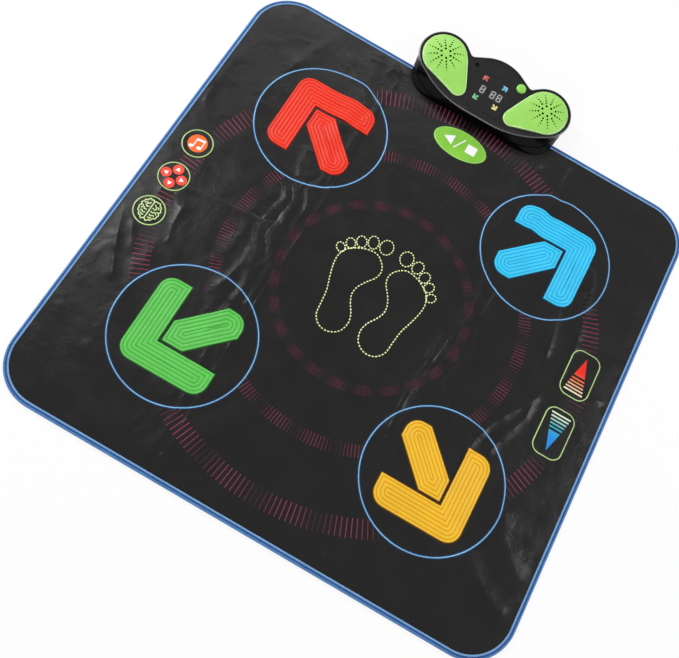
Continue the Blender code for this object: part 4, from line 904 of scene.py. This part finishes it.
def near_crease(x, y):
    """Where the sheet needs closer points: along its sharp creases and where it is crumpled."""
    sharp = worn_share(x * 1000, y * 1000) > 0.40
    reach = 0.006
    for width, _, _, *points in WRINKLES:
        if width > 5:
            continue
        points = [(px * MM, py * MM) for px, py in points]
        near = np.nonzero(close_to(x, y, points, reach) & ~sharp)[0]
        for ends in zip(points, points[1:]):
            sharp[near[to_segment(x[near], y[near], *ends)[0] < reach]] = True
    return sharp


def make_sheets():
    layers = sheet_layers()
    spans = {-1: (-HALF_X, -BEND[0]), 0: (-BEND[0], BEND[0]), 1: (BEND[0], HALF_X)}
    for side, word in WORDS.items():
        low, high = spans[side]
        # the near-black band beside the binding is a painted shadow
        mine = [(panel_outline(side, 0.0032), "painted_edge_shadow"), (panel_outline(side, 0.0118), "base")]
        mine += [(p, kind) for p, kind in layers if max(x for x, _ in p) > low and min(x for x, _ in p) < high]
        xy, triangles, kinds = tile(panel_outline(side, SHEET_INSET), mine, SHEET_SPACING, near_crease, bends=True)
        x, y = xy.T
        points = np.stack([x, y + drift(x, y), MAT_TOP + lift(x, y)], -1)
        obj = add_mesh(f"mat_sheet_{word}", points, triangles, kinds)
        obj.data.normals_split_custom_set_from_vertices(lift_normals(x, y).tolist())
        dress(obj, f"{word}_top_sheet", side=side)


def make_backings():
    hole_x, hole_y, radius = CLAMP_HOLE
    for side, word in WORDS.items():
        holes = [(circle(way * hole_x, hole_y, radius, 20), None) for way in (-1, 1)] if side == 0 else []
        xy, triangles, _ = tile(panel_outline(side, BINDING_WIDTH - 0.001), holes, BACKING_SPACING, bends=True)
        x, y = xy.T
        z = 0.00025 + 0.00012 * noise(x / 0.05, y / 0.05, 9)
        faces = [face[::-1] for face in triangles]
        obj = add_mesh(f"mat_backing_{word}", np.stack([x, y, z], -1), faces, ["backing"] * len(faces))
        dress(obj, f"{word}_base_sheet", side=side)


# Section of the binding: distance in from the mat's edge and height, in millimetres
BINDING_SECTION = (
    (9.0, 0.25), (6.0, 0.10), (3.0, 0.10), (1.2, 0.45), (0.35, 1.3), (0.0, 2.7), (0.1, 4.0), (0.6, 5.1), (1.4, 5.9),
    (2.4, 6.25), (3.4, 6.15), (4.1, 5.95), (4.6, 5.72), (5.6, 5.72), (6.2, 5.95), (6.8, 6.25), (7.6, 6.45), (8.4, 6.3),
    (8.9, 5.95), (9.2, 5.35),
)
# painted shade on the underside, the outer side and the groove, and a painted highlight on the inner ridge
BINDING_FINISHES = ["binding_side_painted_shade"] * 6 + ["binding"] * 4 + ["binding_groove_painted_shade"] * 4 + ["binding_painted_highlight"] * 5
STITCH_INSET = 0.0051
STITCH_PITCH = 0.0042
STITCH_LENGTH = 0.0029
STITCH_RADIUS = 0.00032
STITCH_Z = 0.00568


def edge_line(side, inset, step=0.008):
    """Points along the mat's edge on one panel, that run anticlockwise."""
    half_x, half_y, radius = HALF_X - inset, HALF_Y - inset, CORNER - inset
    if side == 0:
        line = [(-BEND[0], -half_y), (BEND[0], -half_y)]
    else:
        corners = [(BEND[0], -half_y), (half_x, -half_y), (half_x, half_y), (REAR_BINDING_END, half_y)]
        line = rounded(corners, (0, radius, radius, 0), 18)
    points = []
    for start, end in zip(line, line[1:]):
        n = max(1, math.ceil(math.dist(start, end) / step))
        shares = [i / n for i in range(n)]
        if side and abs(end[1] - start[1]) < 1e-6:
            # this side crosses the fold
            shares = [s for s in shares if s == 0 or abs(between(start, end, s)[0]) > BEND[1] + 0.001]
            shares = sorted(shares + bend_shares(start[0], end[0]))
        points += [between(start, end, s) for s in shares if s < 1]
    points.append(line[-1])
    return points if side >= 0 else mirrored(points)


def add_stitches(build, side):
    """Stitches that lie in the binding's groove."""
    line = np.array(edge_line(side, STITCH_INSET, 0.002))
    s = distances(line)
    r = STITCH_RADIUS
    for at in np.arange(0.002, s[-1] - 0.003, STITCH_PITCH):
        start, end = zip(*[np.interp([at, at + STITCH_LENGTH], s, axis) for axis in line.T])
        u, v, _ = heading(start, end)
        rings = []
        for share, height in ((0.0, 0.0), (0.2, r), (0.8, r), (1.0, 0.0)):
            x, y, z = *between(start, end, share), STITCH_Z + height
            rings.append([(x + v * r * a, y - u * r * a, z + r * b) for a, b in ((-1, 0), (0, 0.9), (1, 0), (0, -0.6))])
        build.loft(rings, "thread", True)


def make_bindings():
    n = len(BINDING_SECTION)
    for side, word in ((-1, "left"), (0, "front"), (1, "right")):
        points = []
        base, inner = edge_line(side, 0.0), edge_line(side, BINDING_WIDTH)
        for (x0, y0), (x1, y1) in zip(base, inner):
            puff = 1 + 0.03 * float(noise(x0 / 0.012, y0 / 0.012, 11))
            u, v = (x1 - x0) / 9, (y1 - y0) / 9
            points += [(x0 + u * d, y0 + v * d, z * MM * (puff if z > 1 else 1)) for d, z in BINDING_SECTION]
        count = len(base) - 1
        faces = [[a, a + 1, a + n + 1, a + n] for k in range(count) for a in range(k * n, k * n + n - 1)]
        build = Build()
        build.add(points, faces, BINDING_FINISHES * count)
        add_stitches(build, side)
        dress(build.made(f"binding_{word}_tape"), f"{word}_binding", side=side)


def ring_at(shape, inset, counts):
    """The outline at an inset, with the same number of points at each inset."""
    corners, radii = shape
    small = [max(r - inset, 0.0007) if r > 0 else 0.0007 for r in radii]
    arcs = corner_arcs(offset_corners(corners, -inset), small, 6)
    ring = []
    for points, following, n in zip(arcs, arcs[1:] + arcs[:1], counts):
        ring += points + [between(points[-1], following[0], k / n) for k in range(1, n)]
    return ring


def make_arrow_pads():
    for word, side_x, side_y in ARROWS:
        build = Build()
        for shape, deepest in ((CHEVRON, 0.0233), (SHAFT, 0.0252)):
            counts = [max(1, round(math.dist(a, b) / ARROW_SPACING)) for a, b in sides(shape[0])]
            # inset, and height over the mat's flat top
            levels = [(0.0, -ARROW_SKIRT)] + [(inset, ARROW_RISE - below) for inset, below in ARROW_EDGE]
            kinds = [f"{word}_ridge"] * len(ARROW_EDGE)
            inset = levels[-1][0]
            while inset < deepest - 1e-6:
                inset = min(deepest, inset + RIB_STEP)
                groove = (0.5 + 0.5 * math.cos(math.tau * (inset - RIB_START) / RIB_PITCH)) ** RIB_SHARPNESS
                levels.append((inset, ARROW_RISE - RIB_DEPTH * groove))
                # faces deep in a rib's hollow get the darker groove colour, which is partly painted shade
                kinds.append(f"{word}_groove" if groove > 0.5 else f"{word}_ridge")
            rings = []
            for inset, height in levels:
                outline = arrow_at(side_x, side_y, ring_at(shape, inset, counts))
                x, y = np.array(outline if side_x * side_y > 0 else outline[::-1]).T
                rings.append(np.stack([x, y + drift(x, y), MAT_TOP + height + lift(x, y)], -1).tolist())
            build.loft(rings, kinds, True)
        dress(build.made(f"arrow_{word}", 50), f"arrow_pad_{word}", f"arrow_pad_{word}")


def printed_pad(name, node, outline, layers, spacing=0.004, base="base"):
    """A pad with prints on it: its top rounds off at the edge, and its sides go down through the sheet."""
    xy, triangles, kinds = tile(outline, layers, spacing)
    x, y = xy.T
    depth = np.min([to_segment(x, y, *ends)[0] for ends in sides(outline)], 0)
    crown = PAD_LIP + (PAD_RISE - PAD_LIP) * np.sqrt(1 - (1 - np.clip(depth / PAD_EDGE, 0, 1)) ** 2)
    build = Build()
    points = np.stack([x, y, MAT_TOP + lift(x, y) + crown], -1)
    build.add(points, triangles, [base if kind == "base" else kind for kind in kinds])
    x, y = np.array(split(outline, spacing)).T
    z = MAT_TOP + lift(x, y) + PAD_LIP
    build.loft([np.stack([x, y, z - PAD_SKIRT], -1), np.stack([x, y, z], -1)], base)
    dress(build.made(name, 50), node, node)


def note_print(x, y):
    """A pair of joined quavers on an orange disc."""
    disc = (circle(x, y, 0.0175, 48), "orange_print")
    x, y, s = x - 0.0012, y - 0.0012, 0.0225
    parts = [ellipse(x + u * s, y + v * s, 0.19 * s, 0.145 * s, 24) for u, v in ((-0.30, -0.36), (0.34, -0.26))]
    for u, v in ((-0.185, -0.36), (0.455, -0.26)):
        parts.append(rectangle(x + u * s, y + v * s, x + (u + 0.08) * s, y + (v + 0.76) * s))
    parts.append([(x + u * s, y + v * s) for u, v in ((-0.185, 0.28), (0.535, 0.38), (0.535, 0.56), (-0.185, 0.46))])
    return [disc] + [(part, "white_print") for part in parts]


def buttons_print(x, y):
    """Four round buttons with triangles."""
    layers = []
    for u, v in ((1, 0), (0, 1), (-1, 0), (0, -1)):
        cx, cy = x + 0.0150 * u, y + 0.0150 * v
        corners = ((0.0047, 0), (-0.0030, 0.0043), (-0.0030, -0.0043))
        layers.append((circle(cx, cy, 0.0095, 32), "coral_print"))
        layers.append(([(cx + a * u - b * v, cy + a * v + b * u) for a, b in corners], "white_print"))
    return layers


# Half of a brain's outline and its folds, in millimetres
BRAIN_HALF = (
    (0, 17), (5, 19.5), (10, 18.5), (13.5, 15), (16.5, 11), (18, 6), (17.5, 1.5), (18.5, -3.5), (16, -8.5),
    (12.5, -12.5), (8.5, -16.5), (4, -18.5), (0, -16.5),
)
BRAIN_FOLDS = (
    ((4, 13.5), (7, 10.5), (11.5, 11.5), (12.5, 8)),
    ((3.5, 6), (7.5, 4.5), (9.5, 7), (8, 9)),
    ((17, 4), (13.5, 3), (12, 0), (14, -2.5)),
    ((4, -1), (8.5, -1.5), (9.5, 1.5)),
    ((4, -6.5), (7.5, -8), (10.5, -5.5), (13, -7)),
    ((4, -12), (8, -12.5), (9.5, -10)),
)


def brain_print(x, y):
    quads = []
    for side in (-1, 1):
        half = smooth_path([(side * u * 0.97 * MM, v * MM) for u, v in BRAIN_HALF], False, 5)
        # the outline bulges in lobes
        waves = [1 + 0.045 * math.sin(k * math.tau / 7.5) for k in range(len(half))]
        quads += thick_line([(x + u * wave, y + v * wave) for (u, v), wave in zip(half, waves)], 0.0021)
        for fold in BRAIN_FOLDS:
            quads += thick_line(smooth_path([(x + side * u * MM, y + v * MM) for u, v in fold], False, 5), 0.0019)
    quads += thick_line([(x, y + 0.0165), (x, y - 0.0162)], 0.0018)
    return [(quad, "lime_line") for quad in quads]


def make_mode_pads():
    rims = ((-0.0002, "lime_halo"), (-0.0005, "lime_line"), (-0.0022, "lime_halo"), (-0.0032, "base"))
    for number, ((x, y), prints) in enumerate(zip(MODE_PADS, (note_print, buttons_print, brain_print)), 1):
        layers = [(circle(x, y, MODE_RADIUS + grow, 64), kind) for grow, kind in rims] + prints(x, y)
        outline = circle(x, y, MODE_RADIUS, 64)
        printed_pad(f"mode_touch_{number}", f"mode_pad_{number}", outline, layers)


def make_volume_pads():
    rims = ((-0.0002, "lime_halo"), (-0.0005, "lime_line"), (-0.0023, "lime_halo"), (-0.0033, "base"))
    for word, centre, sign in (("up", VOLUME_PADS[0], 1), ("down", VOLUME_PADS[1], -1)):
        x, y = centre
        kind = f"{word}_print"
        layers = [(volume_outline(centre, inset), line) for inset, line in rims]
        foot = y - sign * 0.0030
        layers.append(([(x, y + sign * 0.0330), (x - 0.0105, foot), (x + 0.0105, foot)], kind))
        for k in range(5):
            below = 0.0058 + 0.0062 * k
            middle = foot - sign * below
            half = 0.0105 + 0.0075 * below / 0.0316
            layers.append((rectangle(x - half, middle - 0.0014, x + half, middle + 0.0014), kind))
        outline = volume_outline(centre, 0.0)
        printed_pad(f"volume_touch_{word}", f"volume_{word}_pad", outline, layers)


def make_start_pad():
    x, y, half_x, half_y = START_PAD
    triangle = [(x - 0.0345, y + 0.0015), (x - 0.0150, y - 0.0095), (x - 0.0150, y + 0.0125)]
    slash = strip((x - 0.0085, y - 0.0115), (x + 0.0050, y + 0.0135), 0.0024)
    square = rectangle(x + 0.0130, y - 0.0090, x + 0.0325, y + 0.0100)
    layers = [(ellipse(x, y, half_x - 0.0016, half_y - 0.0016), "start_green")]
    layers += [(part, "white_print") for part in (triangle, slash, square)]
    outline = ellipse(x, y, half_x, half_y)
    printed_pad("start_stop_touch", "start_stop_pad", outline, layers, 0.005, "start_rim")


# ---- console ----


def face(x, y, z=0.0):
    """A point of the tilted face, in the frame's coordinates."""
    c, s = math.cos(TILT), math.sin(TILT)
    return (x, FACE_Y + y * c - z * s, FACE_Z + y * s + z * c)


def rim_pulleys(inset):
    dome = (0.0, LOBE[1] + LOBE[2] + 0.0008 - DOME_RADIUS, DOME_RADIUS)
    right = [(0.027, 0.170, 0.170), LOBE, (0.0615, 0.111, -0.008)]
    return [(x, y, r - inset) for x, y, r in right + [dome] + [(-x, y, r) for x, y, r in reversed(right)]]


def foot_pulleys(inset):
    """The wall's foot: as the rim, with a rounded corner at each end of its front."""
    pulleys = [(x, FACE_Y + y * math.cos(TILT), r) for x, y, r in rim_pulleys(inset)]
    corner_x = LOBE[0] + LOBE[2] - 0.004 - FOOT_CORNER
    for index, side in ((0, 1), (-1, -1)):
        pulleys[index] = (side * corner_x, FACE_Y + 0.002 + FOOT_CORNER, FOOT_CORNER - inset)
    return pulleys


def rim_ring(inset, height):
    return [face(x, y, height) for x, y in belt(rim_pulleys(inset), RIM_STEPS)]


def wall_ring(inset, z, top_height, rise=0.0):
    """The wall's outline at height z, or that share of the way from there up to the rim."""
    ring = []
    for foot, top in zip(belt(foot_pulleys(inset), RIM_STEPS), rim_ring(inset, top_height)):
        level = z + (top[2] - z) * rise
        ring.append((*between(foot, top, level / top[2]), level))
    return ring


def teardrop(side, grow, steps=(20, 56)):
    outline = belt([(*TAIL[:2], TAIL[2] + grow), (*LOBE[:2], LOBE[2] - GRILLE_EDGE + grow)], steps)
    return outline if side > 0 else mirrored(outline)


def window_outline(grow):
    right = [(0.034, 0.015), (0.043, 0.080)]
    corners = offset_corners(right + [(0.0, 0.095)] + mirrored(right), grow)
    small = 0.006 + grow
    return rounded(corners, (small, small, 0.080 + grow, small, small), 10)


# Section of the rolled rim: distance in and height over the face
LIP = (
    (0.0, -0.0049), (-0.0005, -0.0044), (-0.0010, -0.0036), (-0.0012, -0.0026), (-0.0011, -0.0017), (-0.0007, -0.0009),
    (-0.0001, -0.0003), (0.0006, -0.00005), (0.0013, 0.0), (0.0020, -0.0001), (0.0026, -0.0004), (0.0031, FACE_DROP),
)


def make_upper_shell():
    build = Build()
    foot, top = 0.0152, LIP[0][1]
    rings = [rim_ring(0.002, -0.003), wall_ring(0.002, foot, top)]
    rings += [wall_ring(0.0, foot, top, k / 5) for k in range(5)] + [rim_ring(*point) for point in LIP]
    build.loft(rings, ["shell"] * 10 + ["shell_lip"] * 5 + ["shell"] * 3)
    holes = [teardrop(-1, 0.0006), teardrop(1, 0.0006), window_outline(0.0004)]
    for (x, y, radius), gap, steps in ((BUTTON, 0.0005, 36), (MICROPHONE, 0.0003, 28)):
        holes.append(circle(x, y, radius + gap, steps))
    outline = belt(rim_pulleys(LIP[-1][0]), RIM_STEPS)
    xy, triangles, _ = tile(outline, [(hole, None) for hole in holes], 0.012)
    build.add([face(x, y, FACE_DROP) for x, y in xy], triangles, "shell_face")
    for hole in holes:
        hole = anticlockwise(hole)[::-1]
        build.loft([[face(x, y, z) for x, y in hole] for z in (-0.0022, FACE_DROP - 0.0002, FACE_DROP)], "shell")
    dress(build.made("console_top_shell", 40), "upper_shell")


def copy_of(node, name, kind, bevel=None, smooth_angle=35, body=ROOT):
    """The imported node's own shape, smooth-shaded and finished."""
    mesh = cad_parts[node].data.copy()
    mesh.materials.clear()
    mesh.materials.append(MATERIALS[kind])
    weld(mesh, 1e-6)
    mesh.polygons.foreach_set("use_smooth", [True] * len(mesh.polygons))
    mesh.polygons.foreach_set("material_index", [0] * len(mesh.polygons))
    mesh.set_sharp_from_angle(angle=math.radians(smooth_angle))
    obj = link(name, mesh)
    if bevel:
        add_bevel(obj, bevel, 50)
    dress(obj, node, body)
    return obj


@functools.cache
def base_ring(inset, z):
    return wall_ring(inset, z, 0.0)


def make_base_shell():
    """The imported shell's own floor and ribs, inside a smooth outer wall that stands on the mat and behind it."""
    mesh = copy_of("lower_shell", "console_base_shell", "shell").data
    for vertex in mesh.vertices:
        x, y, z = vertex.co
        ring = np.array(base_ring(0.0, z))[:, :2]
        nearest = int(np.argmin(np.hypot(ring[:, 0] - x, ring[:, 1] - y)))
        along = ring[(nearest + 1) % len(ring)] - ring[nearest - 1]
        inward = np.array([-along[1], along[0]]) / np.hypot(*along)
        move = WALL / 2 - float((np.array([x, y]) - ring[nearest]) @ inward)
        if move > 0:
            vertex.co = (x + inward[0] * move, y + inward[1] * move, z)
    lows = [PLATE_Z if y < STEP_Y else FLOOR_Z for _, y, _ in base_ring(0.0, FLOOR_Z)]
    steps = ((0.0003, 0.0), (0.0, 0.04), (0.0, 0.35), (0.0, 0.7), (0.0, 1.0), (WALL, 1.0), (WALL, 0.0), (0.0003, 0.0))
    rings = []
    for inset, share in steps:
        rings.append([base_ring(inset, low + (PARTING_Z - low) * share)[k] for k, low in enumerate(lows)])
    build = Build()
    build.loft(rings, "shell")
    wall = build.made("console_base_wall")
    bm = bmesh.new()
    bm.from_mesh(mesh)
    bm.from_mesh(wall.data)
    bm.to_mesh(mesh)
    bm.free()
    bpy.data.objects.remove(wall)
    mesh.set_sharp_from_angle(angle=math.radians(40))
    for polygon in mesh.polygons:
        if abs(polygon.normal.z) > 0.99:
            polygon.use_smooth = False


# Rings of holes in a grille: radius, number of holes, radius of each
GRILLE_RINGS = (
    (0.0096, 6, 0.0023), (0.0163, 12, 0.0019), (0.0218, 12, 0.0016), (0.0272, 12, 0.0014), (0.0325, 12, 0.0010),
)


def dome_height(side):
    """Height of the grille's dome over points of the face."""
    dx, dy = np.array(teardrop(1, 0.0, (60, 160))).T - np.array(LOBE[:2])[:, None]
    angle = np.arctan2(dy, dx)
    order = np.argsort(angle)
    angle = np.concatenate([angle[order] + turn for turn in (-math.tau, 0, math.tau)])
    reach = np.tile(np.hypot(dx, dy)[order], 3)

    def height(points):
        x, y = np.array(points).T
        px, py = side * x - LOBE[0], y - LOBE[1]
        r = np.hypot(px, py)
        limit = np.interp(np.arctan2(py, px), angle, reach)
        share = np.clip(r / limit, 0, 1)
        edge = np.clip((limit - r) / 0.0013, 0, 1)
        return -0.0004 + 0.0015 * np.sqrt(1 - (1 - edge) ** 2) + 0.0060 * (1 - share**2) ** 0.9

    return height


def make_grilles():
    for side in (-1, 1):
        height = dome_height(side)

        def over(points, below=0.0):
            return [face(x, y, z - below) for (x, y), z in zip(points, height(points))]

        holes = []
        for radius, count, hole in GRILLE_RINGS:
            for k in range(count):
                a = math.tau * (k + 0.5 * (count == 6)) / count
                x, y = side * (LOBE[0] + radius * math.sin(a)), LOBE[1] + 0.0005 + radius * math.cos(a)
                holes.append(circle(x, y, hole, 12))
        outline = teardrop(side, 0.0, (24, 72))
        layers = [(teardrop(side, -0.0020, (24, 72)), "lime")] + [(hole, None) for hole in holes]
        xy, triangles, kinds = tile(outline, layers, 0.0026)
        # the paler lime of the rim band and its side is a painted highlight
        build = Build()
        build.add(over(xy), triangles, ["lime_edge" if kind == "base" else kind for kind in kinds])
        rim = split(outline, 0.0026)
        build.loft([[face(x, y, -0.0013) for x, y in rim], over(rim)], "lime_edge")
        for hole in holes:
            # the hole walls carry painted shade
            build.loft([over(hole), over(hole, 0.0016)], "hole")
        word = WORDS[side]
        dress(build.made(f"speaker_grille_{word}", 50), f"grille_{word}")


# The display: its top, and a digit's half width and half height between the middles of its bars
DISPLAY_TOP = FACE_DROP + 0.0004
DIGIT_HALF = (0.0036, 0.0069)
BAR_HALF = 0.0009
BAR_GAP = 0.000216


def digit_bars(x, y):
    """The seven bars of a digit, with pointed ends."""
    hx, hy = DIGIT_HALF
    lines = [(x - hx, y + j * hy, 2 * hx, 0) for j in (-1, 0, 1)]
    lines += [(x + i * hx, y + j * hy, 0, hy) for i in (-1, 1) for j in (-1, 0)]
    bars = []
    for x0, y0, dx, dy in lines:
        u, v = (1, 0) if dx else (0, 1)
        length = dx + dy
        end = BAR_HALF + BAR_GAP
        outline = (
            (BAR_GAP, 0), (end, -BAR_HALF), (length - end, -BAR_HALF), (length - BAR_GAP, 0), (length - end, BAR_HALF),
            (end, BAR_HALF),
        )
        bars.append([(x0 + a * u - b * v, y0 + a * v + b * u) for a, b in outline])
    return bars


def make_display():
    build = Build()
    build.prism(window_outline(0.0), -0.0014, DISPLAY_TOP, "window")
    window = build.made("display_cover", 40)
    add_bevel(window, 0.0003, 40)
    dress(window, "display_window")

    build = Build()
    build.prism(rectangle(-0.024, 0.0428, 0.0275, 0.0652), -0.0112, -0.0017, "dark_metal")
    for x in (-0.0155, 0.006, 0.019):
        block = rectangle(x - 0.0058, 0.0452, x + 0.0058, 0.0628)
        build.prism(block, -0.0016, DISPLAY_TOP + 0.00006, "segment_block")
        for bar in digit_bars(x, 0.054):
            build.prism(bar, DISPLAY_TOP, DISPLAY_TOP + 0.00020, "segment")
    dress(build.made("display_digits"), "display_module")

    scale = 0.0098 / ARROW_SPAN
    for word, side_x, side_y in ARROWS:
        build = Build()
        y = 0.077 if side_y > 0 else 0.034
        for shape in (CHEVRON, SHAFT):
            arrow = arrow_outline(shape, 0.0, 4)
            outline = [(side_x * (0.0151 + u * scale), y + side_y * (v * scale - 0.0049)) for u, v in arrow]
            build.prism(outline, -0.0016, DISPLAY_TOP + 0.00022, f"lamp_{word}")
        dress(build.made(f"display_lamp_{word}"), f"lamp_{word}")


def make_turned(name, node, body, centre, profile, kind, steps):
    """A turned piece that stands on the face; the profile gives radius and height."""
    build = Build()
    build.loft([[face(*point, z) for point in circle(*centre, r, steps)] for r, z in profile], kind, True)
    dress(build.made(name, 50), node, body)


def make_button():
    *centre, r = BUTTON
    brim = r + 0.0022
    profile = [(0.003, -0.0066), (0.003, -0.0045), (brim, -0.0044), (brim, -0.0034), (r, -0.0033), (r, 0.0002)]
    for k in range(1, 11):
        a = math.pi / 2 * k / 10.5
        profile.append((r * math.cos(a) ** 0.75, 0.0002 + 0.0030 * math.sin(a)))
    make_turned("power_knob", "power_button", "power_button", centre, profile, "button", 40)


def make_microphone():
    *centre, r = MICROPHONE
    steps = (
        (0.0, -0.0030), (0.0, -0.0002), (0.0004, 0.0002), (0.0012, 0.0001), (0.0018, -0.0006), (0.0019, -0.0016),
    )
    profile = [(r - inset, z) for inset, z in steps]
    make_turned("microphone_ring", "microphone", ROOT, centre, profile, "shell", 32)


def paint(kind, *nodes):
    """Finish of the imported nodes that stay."""
    for node in nodes:
        for material_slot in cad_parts[node].material_slots:
            material_slot.link = "OBJECT"
            material_slot.material = MATERIALS[kind]


def finish_nodes():
    for word in WORDS.values():
        paint("film", f"{word}_lower_film", f"{word}_upper_film")
        paint("foam", f"{word}_foam")
    paint("film", "membrane_tail")
    paint("board", "main_board")
    paint("dark_metal", "speaker_left", "speaker_right", "power_switch")
    paint("paper", "speaker_cone_left", "speaker_cone_right")
    paint("cell", "battery_1", "battery_2", "battery_3")
    paint("steel", "battery_contact_left", "battery_contact_right")
    copy_of("battery_door", "battery_cover", "shell_face", 0.0003, body="battery_door")
    for side in ("left", "right"):
        copy_of(f"rubber_foot_{side}", f"foot_pad_{side}", "rubber", 0.0004, 50)
        copy_of(f"clamp_screw_{side}", f"clamp_fastener_{side}", "steel", 0.0001)
        copy_of(f"shell_screw_{side}", f"shell_fastener_{side}", "steel", 0.0001)
    copy_of("clamp_bar", "clamp_strip", "steel", 0.0004)


# ---- stage ----

# Area lights that aim at the mat's middle: place, size and power
LIGHTS = {
    "key_left": ((-1.62, 0.75, 1.45), (0.6, 1.3), 27),
    "rear": ((-0.9, 2.4, 2.1), (2.0, 0.8), 12),
    "front": ((-0.2, -2.3, 1.5), (2.2, 0.35), 17),
    "right": ((1.7, 0.7, 1.3), (0.6, 1.3), 14),
}


def make_stage():
    mesh = bpy.data.meshes.new("studio_floor")
    mesh.from_pydata([(x, y, -0.0002) for x, y in rectangle(-6, -6, 6, 6)], [], [(0, 1, 2, 3)])
    floor = link("studio_floor", mesh)
    t = Finish("studio_floor")
    t.shade({"Base Color": (0.9, 0.9, 0.9), "Roughness": 0.9})
    surfaces = {1: t.shader.outputs["BSDF"], 2: t.node("Emission", "Emission", {})}
    mixed = t.node("MixShader", "Shader", {"Fac": t.calc("MULTIPLY", t.seen(), 0.86), **surfaces})
    t.put(t.nodes["Material Output"].inputs["Surface"], mixed)
    mesh.materials.append(MATERIALS["studio_floor"])

    world = bpy.data.worlds.new("studio")
    bpy.context.scene.world = world
    t = Tree(world)
    background = t.nodes["Background"].inputs
    t.put(background["Color"], (1.0, 1.0, 1.0))
    t.put(background["Strength"], t.calc("MAXIMUM", t.seen(), 0.42))

    for name, (place, size, power) in LIGHTS.items():
        light = bpy.data.lights.new(name, "AREA")
        light.shape = "RECTANGLE"
        light.size, light.size_y = size
        light.energy = power
        obj = link(name, light)
        obj.location = place
        obj.rotation_euler = (-Vector(place)).to_track_quat("-Z", "Y").to_euler()


def make_camera():
    camera = bpy.data.cameras.new("camera")
    camera.sensor_width = 36
    camera.lens = 45.814
    camera.clip_start = 0.05
    obj = link("camera", camera)
    right = Vector((0.8647, 0.47497, 0.16339))
    back = right.cross(Vector((-0.50206, 0.8076, 0.30939))).normalized()
    up = back.cross(right).normalized()
    right.normalize()
    matrix = Matrix((right, up, back)).transposed().to_4x4()
    matrix.translation = (0.0021, -0.5846, 1.3486)
    obj.matrix_world = matrix
    bpy.context.scene.camera = obj
    bpy.context.scene.view_settings.view_transform = "Standard"


make_camera()
make_stage()
make_sheets()
make_backings()
make_bindings()
make_arrow_pads()
make_mode_pads()
make_volume_pads()
make_start_pad()
make_upper_shell()
make_grilles()
make_display()
make_button()
make_microphone()
make_base_shell()
finish_nodes()
